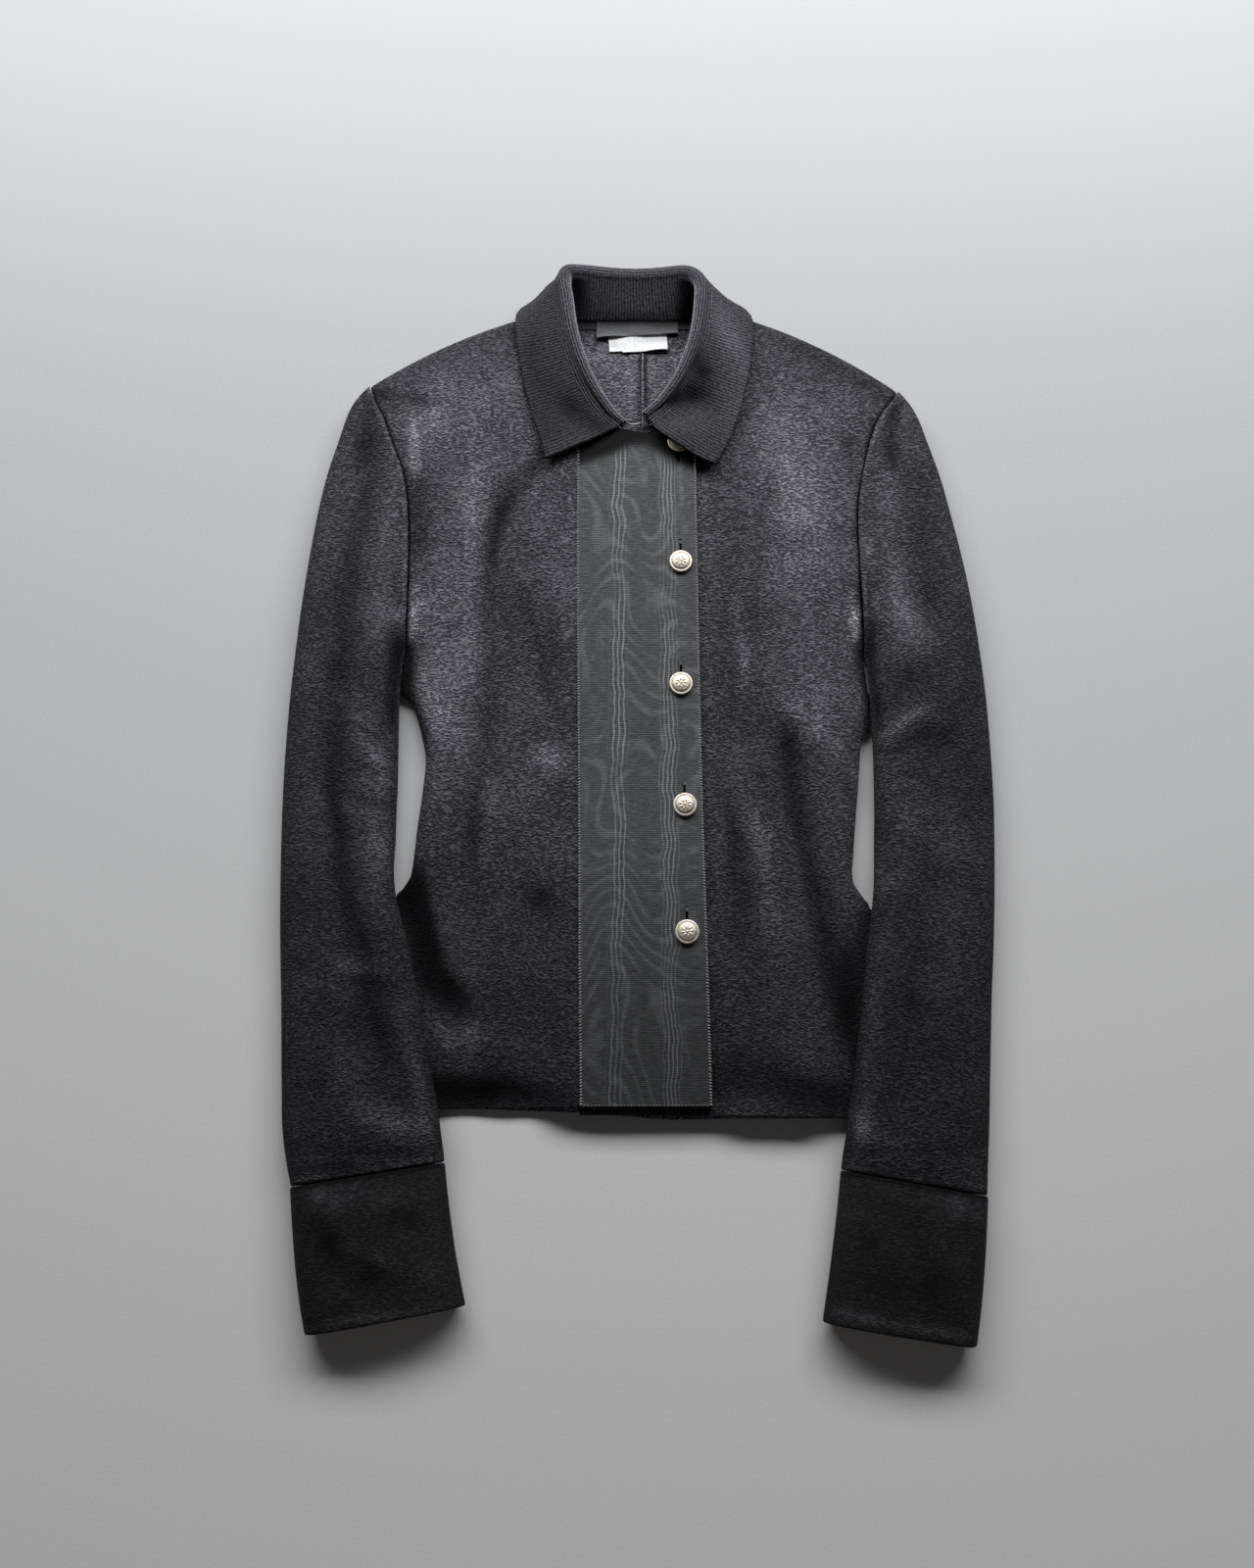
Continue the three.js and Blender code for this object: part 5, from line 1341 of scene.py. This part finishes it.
def watered_ribbon(name, dark, light):
    """Ribbed ribbon with a watered finish: two groups of upright lines, and faint arches."""
    made, tree, shader = material(name, 0.66, specular=0.08)
    where = object_place(tree)
    x, y = along_axes(tree, where)[:2]
    bend = stretched_noise(tree, where, (18.0, 26.0, 0.0), 2.0, 0.55)
    slow = stretched_noise(tree, where, (60.0, 12.0, 0.0), 2.0)
    swayed = plus(tree, x, times(tree, calculate(tree, "SUBTRACT", bend, 0.5), 0.011))
    lines = 0.0
    for middle, half, pitch in WATERED_LINES:
        from_middle = calculate(tree, "SUBTRACT", swayed, middle)
        window = ramp(tree, calculate(tree, "ABSOLUTE", from_middle), half, half * 0.45)
        wave = calculate(tree, "COSINE", times(tree, from_middle, math.tau / pitch))
        lines = plus(tree, lines, times(tree, ramp(tree, wave, 0.1, 1.0), window))
    lines = times(tree, lines, ramp(tree, slow, 0.22, 0.6))
    field = stretched_noise(tree, where, (14.0, 9.0, 0.0), 1.0)
    arches = calculate(tree, "SINE", plus(tree, times(tree, field, 95.0), times(tree, y, 240.0)))
    arches = times(tree, ramp(tree, arches, 0.1, 1.0), ramp(tree, slow, 0.62, 0.4))
    streak = stretched_noise(tree, where, (150.0, 1500.0, 0.0), 2.0, 0.6)
    grain = noise(tree, where, 1300.0, 2.0, 0.7)
    rib, warp = stripes(tree, y, 0.00125), stripes(tree, x, 0.0009)
    watered = plus(tree, times(tree, lines, 0.42), times(tree, arches, 0.12))
    watered = times(tree, watered, plus(tree, 0.45, grain))
    cloth = plus(tree, times(tree, streak, 0.55), times(tree, grain, 0.35), times(tree, rib, 0.04))
    color = blend_colors(tree, ramp(tree, plus(tree, watered, cloth), 0.2, 1.1), dark, light)
    height = plus(tree, times(tree, rib, 0.5), times(tree, warp, 0.12), times(tree, streak, 0.6))
    finish_material(tree, shader, toned(tree, color), height, 0.5, 0.00025)
    return made


def woven_tape(name, dark, light, roughness, pitch=0.0006):
    made, tree, shader = material(name, roughness, specular=0.12)
    height = use_group(tree, weave, {"Vector": object_place(tree), "Pitch": pitch})[0]
    color = blend_colors(tree, ramp(tree, height, 0.2, 0.9), dark, light)
    finish_material(tree, shader, color, height, 0.4, 0.0002)
    return made


def old_silver(name, dark, light):
    """Pale metal, darker in its hollows, with small dull patches."""
    made, tree, shader = material(name, 0.3, metallic=1.0)
    where = object_place(tree)
    worn, pits = noise(tree, where, 420.0, 4.0, 0.6), noise(tree, where, 1600.0, 2.0)
    hollow = node(tree, "NewGeometry").outputs["Pointiness"]
    clean = times(tree, ramp(tree, hollow, 0.46, 0.52), ramp(tree, worn, 0.25, 0.5), clamp=True)
    connect(tree, shader.inputs["Roughness"], plus(tree, 0.48, times(tree, worn, 0.25)))
    finish_material(tree, shader, blend_colors(tree, clean, dark, light), pits, 0.25, 0.0001)
    return made


def plain_thread(name, color):
    made, tree, shader = material(name, 0.8, 0.3, 0.5, 0.3)
    twist = noise(tree, object_place(tree), 2500.0, 1.0)
    dim = tuple(part * 0.55 for part in color[:3]) + (1,)
    finish_material(tree, shader, blend_colors(tree, twist, dim, color), twist, 0.4, 0.0001)
    return made


def floor_material(near, far):
    """A plain floor, painted lighter towards its near edge, away from the window lamp: painted light that
    evens out the lamp's falloff.
    """
    made, tree, shader = material("floor", 0.95, specular=0.1)
    where = object_place(tree)
    grain = noise(tree, where, 500.0, 3.0)
    farther = plus(
        tree, ramp(tree, along_axes(tree, where)[1], -0.65, 0.4),
        times(tree, calculate(tree, "SUBTRACT", grain, 0.5), 0.2),
    )
    finish_material(tree, shader, blend_colors(tree, farther, near, far), grain, 0.15, 0.0004)
    return made


wool_front = wool("wool_front", (0.0335, 0.0326, 0.0368, 1), (0.139, 0.135, 0.153, 1), 0.03)
wool_sleeve = wool("wool_sleeve", (0.0185, 0.018, 0.0202, 1), (0.074, 0.0718, 0.081, 1), 0.03)
wool_cuff = wool("wool_cuff", (0.0125, 0.0125, 0.013, 1), (0.031, 0.031, 0.0316, 1), 0.02, 0.0006, 0.7)
collar_look = knit("collar_knit_look", (0.006, 0.006, 0.0068, 1), (0.092, 0.0895, 0.101, 1), 0.02)
ribbon_look = watered_ribbon("watered_ribbon", grey(0.021, -0.01), grey(0.205, -0.005))
black_look = woven_tape("black_tape_look", grey(0.034, -0.02), grey(0.09, -0.02), 0.85)
label_cloth = woven_tape("label_cloth_look", grey(0.1), grey(0.18), 0.7, 0.0008)
white_look = woven_tape("white_tape_look", grey(0.54, 0.01), grey(0.78, 0.01), 0.7)
silver_look = old_silver("old_silver", (0.33, 0.265, 0.195, 1), (0.66, 0.6, 0.52, 1))
# The stitch thread's own grey, made lighter as a painted highlight where the stitches catch the light
stitch_look = plain_thread("stitch_look", grey(0.38))
tack_look = plain_thread("tack_look", grey(0.16))
lint_look = plain_thread("lint_look", grey(0.75))

# Pieces
def slit_holes(grid):
    """Which squares of the right front lie in a buttonhole slit."""
    centre = (grid[1:, 1:] + grid[:-1, :-1]) / 2
    holes = np.zeros(centre.shape[:2], bool)
    for i in range(size_of(BUTTONS)):
        low, high = slit_span(i)
        across = np.abs(centre[..., 0] - BUTTONS["x"][i]) < SLIT_REACH
        holes |= across & (centre[..., 1] > low) & (centre[..., 1] < high)
    return holes


def front_tone(x, y, side):
    # Painted light and shade: the creases' painted shade and highlight, the painted falloff from shoulder to
    # hem, painted shade along the shoulder roll and in the armhole seam's groove
    tone = creases(FRONT_CREASES, x, y)[1] + painted_falloff_tone(y)
    tone = tone + SHOULDER_TONE * hump(below_shoulder(x, y), SHOULDER_ROLL)
    return tone + ARMHOLE_TONE * seam_strength(y, side) * hump(distance_to_armhole(x, y, side), 1.9)


def tube_piece(name, rows, side, step, thickness, fine_rows, material, radius):
    places = row_places(size_of(rows[side]) - 1, step)
    outer, inner, tone = sleeve_grids(rows[side], side, places, thickness, fine_rows)
    return shell(name, outer, inner, material, closed=True, radius=radius, tone=tone)


pieces = {}
for side, label in ((-1, "right"), (1, "left")):
    top, low, tone = back_grid(side)
    pieces[f"back_{label}"] = shell(f"back_{label}_look", top, low, wool_front, tone=tone)
    grid = front_grid(side, overlap_top if side < 0 else front_top)
    inner = walled(grid, CLOTH, -side, PANEL_FLOOR)
    tone = front_tone(grid[..., 0], grid[..., 1], side)
    holes = slit_holes(grid) if side < 0 else None
    pieces[f"front_{label}"] = shell(f"front_{label}_look", grid, inner, wool_front, holes=holes, tone=tone)
    pieces[f"sleeve_{label}"] = tube_piece(
        f"sleeve_{label}_look", SLEEVE_ROWS, side, 0.1, CLOTH, SLEEVE_CREASES, wool_sleeve, 1.1,
    )
    pieces[f"cuff_{label}"] = tube_piece(
        f"cuff_{label}_look", CUFF_ROWS, side, 0.09, CUFF_CLOTH, CUFF_CREASES, wool_cuff, CUFF_EDGE_RADIUS,
    )

ribbon_low, slits = ribbon_grid(GAP)
ribbon_high, _ = ribbon_grid(GAP + RIBBON)
x, y = ribbon_high[..., 0], ribbon_high[..., 1]
# Painted shade: darker towards the hem, where less light falls, and the painted shadow of the collar's ends
tone = mix(RIBBON_HEM_TONE, 0, smooth(-215, -10, y)) + creases(NECK_SHADE, x, y)[1]
pieces["front_band"] = shell(
    "front_band_look", ribbon_high, ribbon_low, ribbon_look, radius=0.4, holes=slits, tone=tone,
)
outer, inner, tone = collar_grids()
pieces["collar"] = shell("collar_look", outer, inner, collar_look, radius=1.2, tone=tone, fold=COLLAR_CREST)
for i in range(size_of(BUTTONS)):
    pieces[f"button_{i + 1}"] = button_piece(i, silver_look)
pieces["neck_tape"] = strip("neck_tape_look", 118, 6.4, 0, 346.2, CLOTH + GAP, 0.6, black_look, sag=0.15)
pieces["care_label"] = strip(
    "care_label_look", 43, 20, 1.3, 334.4, CLOTH + GAP, 0.5, white_look,
    tilt=0.06, sag=2.6, seed=5, notch=1.3,
)
pieces["label"] = strip(
    "label_look", 60, 13.6, 0.8, 342.2, CLOTH + 2 * GAP + 0.6, 0.5, label_cloth, sag=2.0, seed=6, slant=3.6,
)

seam_path = [(BACK_SEAM_X + 0.4 * math.sin(y / 60), y, CLOTH - 0.15) for y in np.arange(-216, 348, 9)]
lint = ((23.7, 345.5, CLOTH + 1.9), (26.3, 313.8, CLOTH + 0.4), (47.5, 98.4, None))
lint_paths = []
for x, y, z in lint:
    z = z or at_point(front_top, x, y) + 0.5
    lint_paths.append([(x - 0.6, y, z), (x, y + 0.3, z + 0.3), (x + 0.5, y, z)])
loop_path = [(-6, 258, 21.2), (-4, 257.3, 21), (-1.5, 257.2, 20.9), (1, 257.5, 21), (3, 258.6, 21.4)]
extras = [
    threads("collar_loop", [loop_path], 0.3, lint_look),
    threads("lint_specks", lint_paths, 0.4, lint_look),
    # Painted highlight: the back seam's ridge is painted lighter than the wool
    threads("back_seam_ridge", [seam_path], 0.85, wool_front, 8, tone=RIDGE_TONE),
    threads("band_edge_stitches", edge_stitches(), 0.33, stitch_look),
    threads("band_hem_stitches", hem_stitches(), 0.14, stitch_look),
    threads("slit_bar_tacks", bar_tacks(), 0.26, tack_look),
]

for node_name, piece in pieces.items():
    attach(piece, "root")
    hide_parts(node_name)
for piece in extras:
    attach(piece, "root")


# Floor, light and camera
bpy.ops.object.select_all(action="DESELECT")
bpy.ops.mesh.primitive_plane_add(size=8, location=(0, 0, -0.0004))
floor = bpy.context.object
floor.name = "floor"
floor.data.materials.append(floor_material(grey(0.63, 0.02), grey(0.34)))


def soft_light(name, place, aim, size, power, color=(1, 1, 1)):
    data = bpy.data.lights.new(name, "AREA")
    data.shape = "RECTANGLE"
    data.size, data.size_y = size
    data.energy = power
    data.color = color
    lamp = bpy.data.objects.new(name, data)
    lamp.location = place
    lamp.visible_camera = False
    lamp.rotation_euler = (Vector(aim) - Vector(place)).to_track_quat("-Z", "Y").to_euler()
    bpy.context.scene.collection.objects.link(lamp)


soft_light("window", (0.02, 1.04, 0.8), (0.0, 0.36, 0), (2.6, 0.45), 48, (0.96, 0.98, 1))
soft_light("room", (0.2, -0.9, 1.7), (0, 0.1, 0), (2.0, 2.0), 0.45, (1, 0.98, 0.95))
soft_light("low_fill", (0, -1.45, 0.5), (0, 0.35, 0.02), (1.4, 0.4), 0.9, (1, 0.97, 0.93))
world = bpy.data.worlds.new("room_light")
world.use_nodes = True
world.node_tree.nodes["Background"].inputs[0].default_value = (0.93, 0.96, 1, 1)
world.node_tree.nodes["Background"].inputs[1].default_value = 0.026
bpy.context.scene.world = world

# The camera's place, tilt and lens were worked out from the photograph's perspective
camera_data = bpy.data.cameras.new("camera")
camera_data.lens = 31.5
camera_data.sensor_width = 36
camera_data.clip_start = 0.01
camera = bpy.data.objects.new("camera", camera_data)
camera.location = (-0.0075, -0.2314, 0.908)
camera.rotation_euler = (math.radians(13.387), 0, 0)
bpy.context.scene.collection.objects.link(camera)
bpy.context.scene.camera = camera
bpy.context.scene.view_settings.view_transform = "Standard"
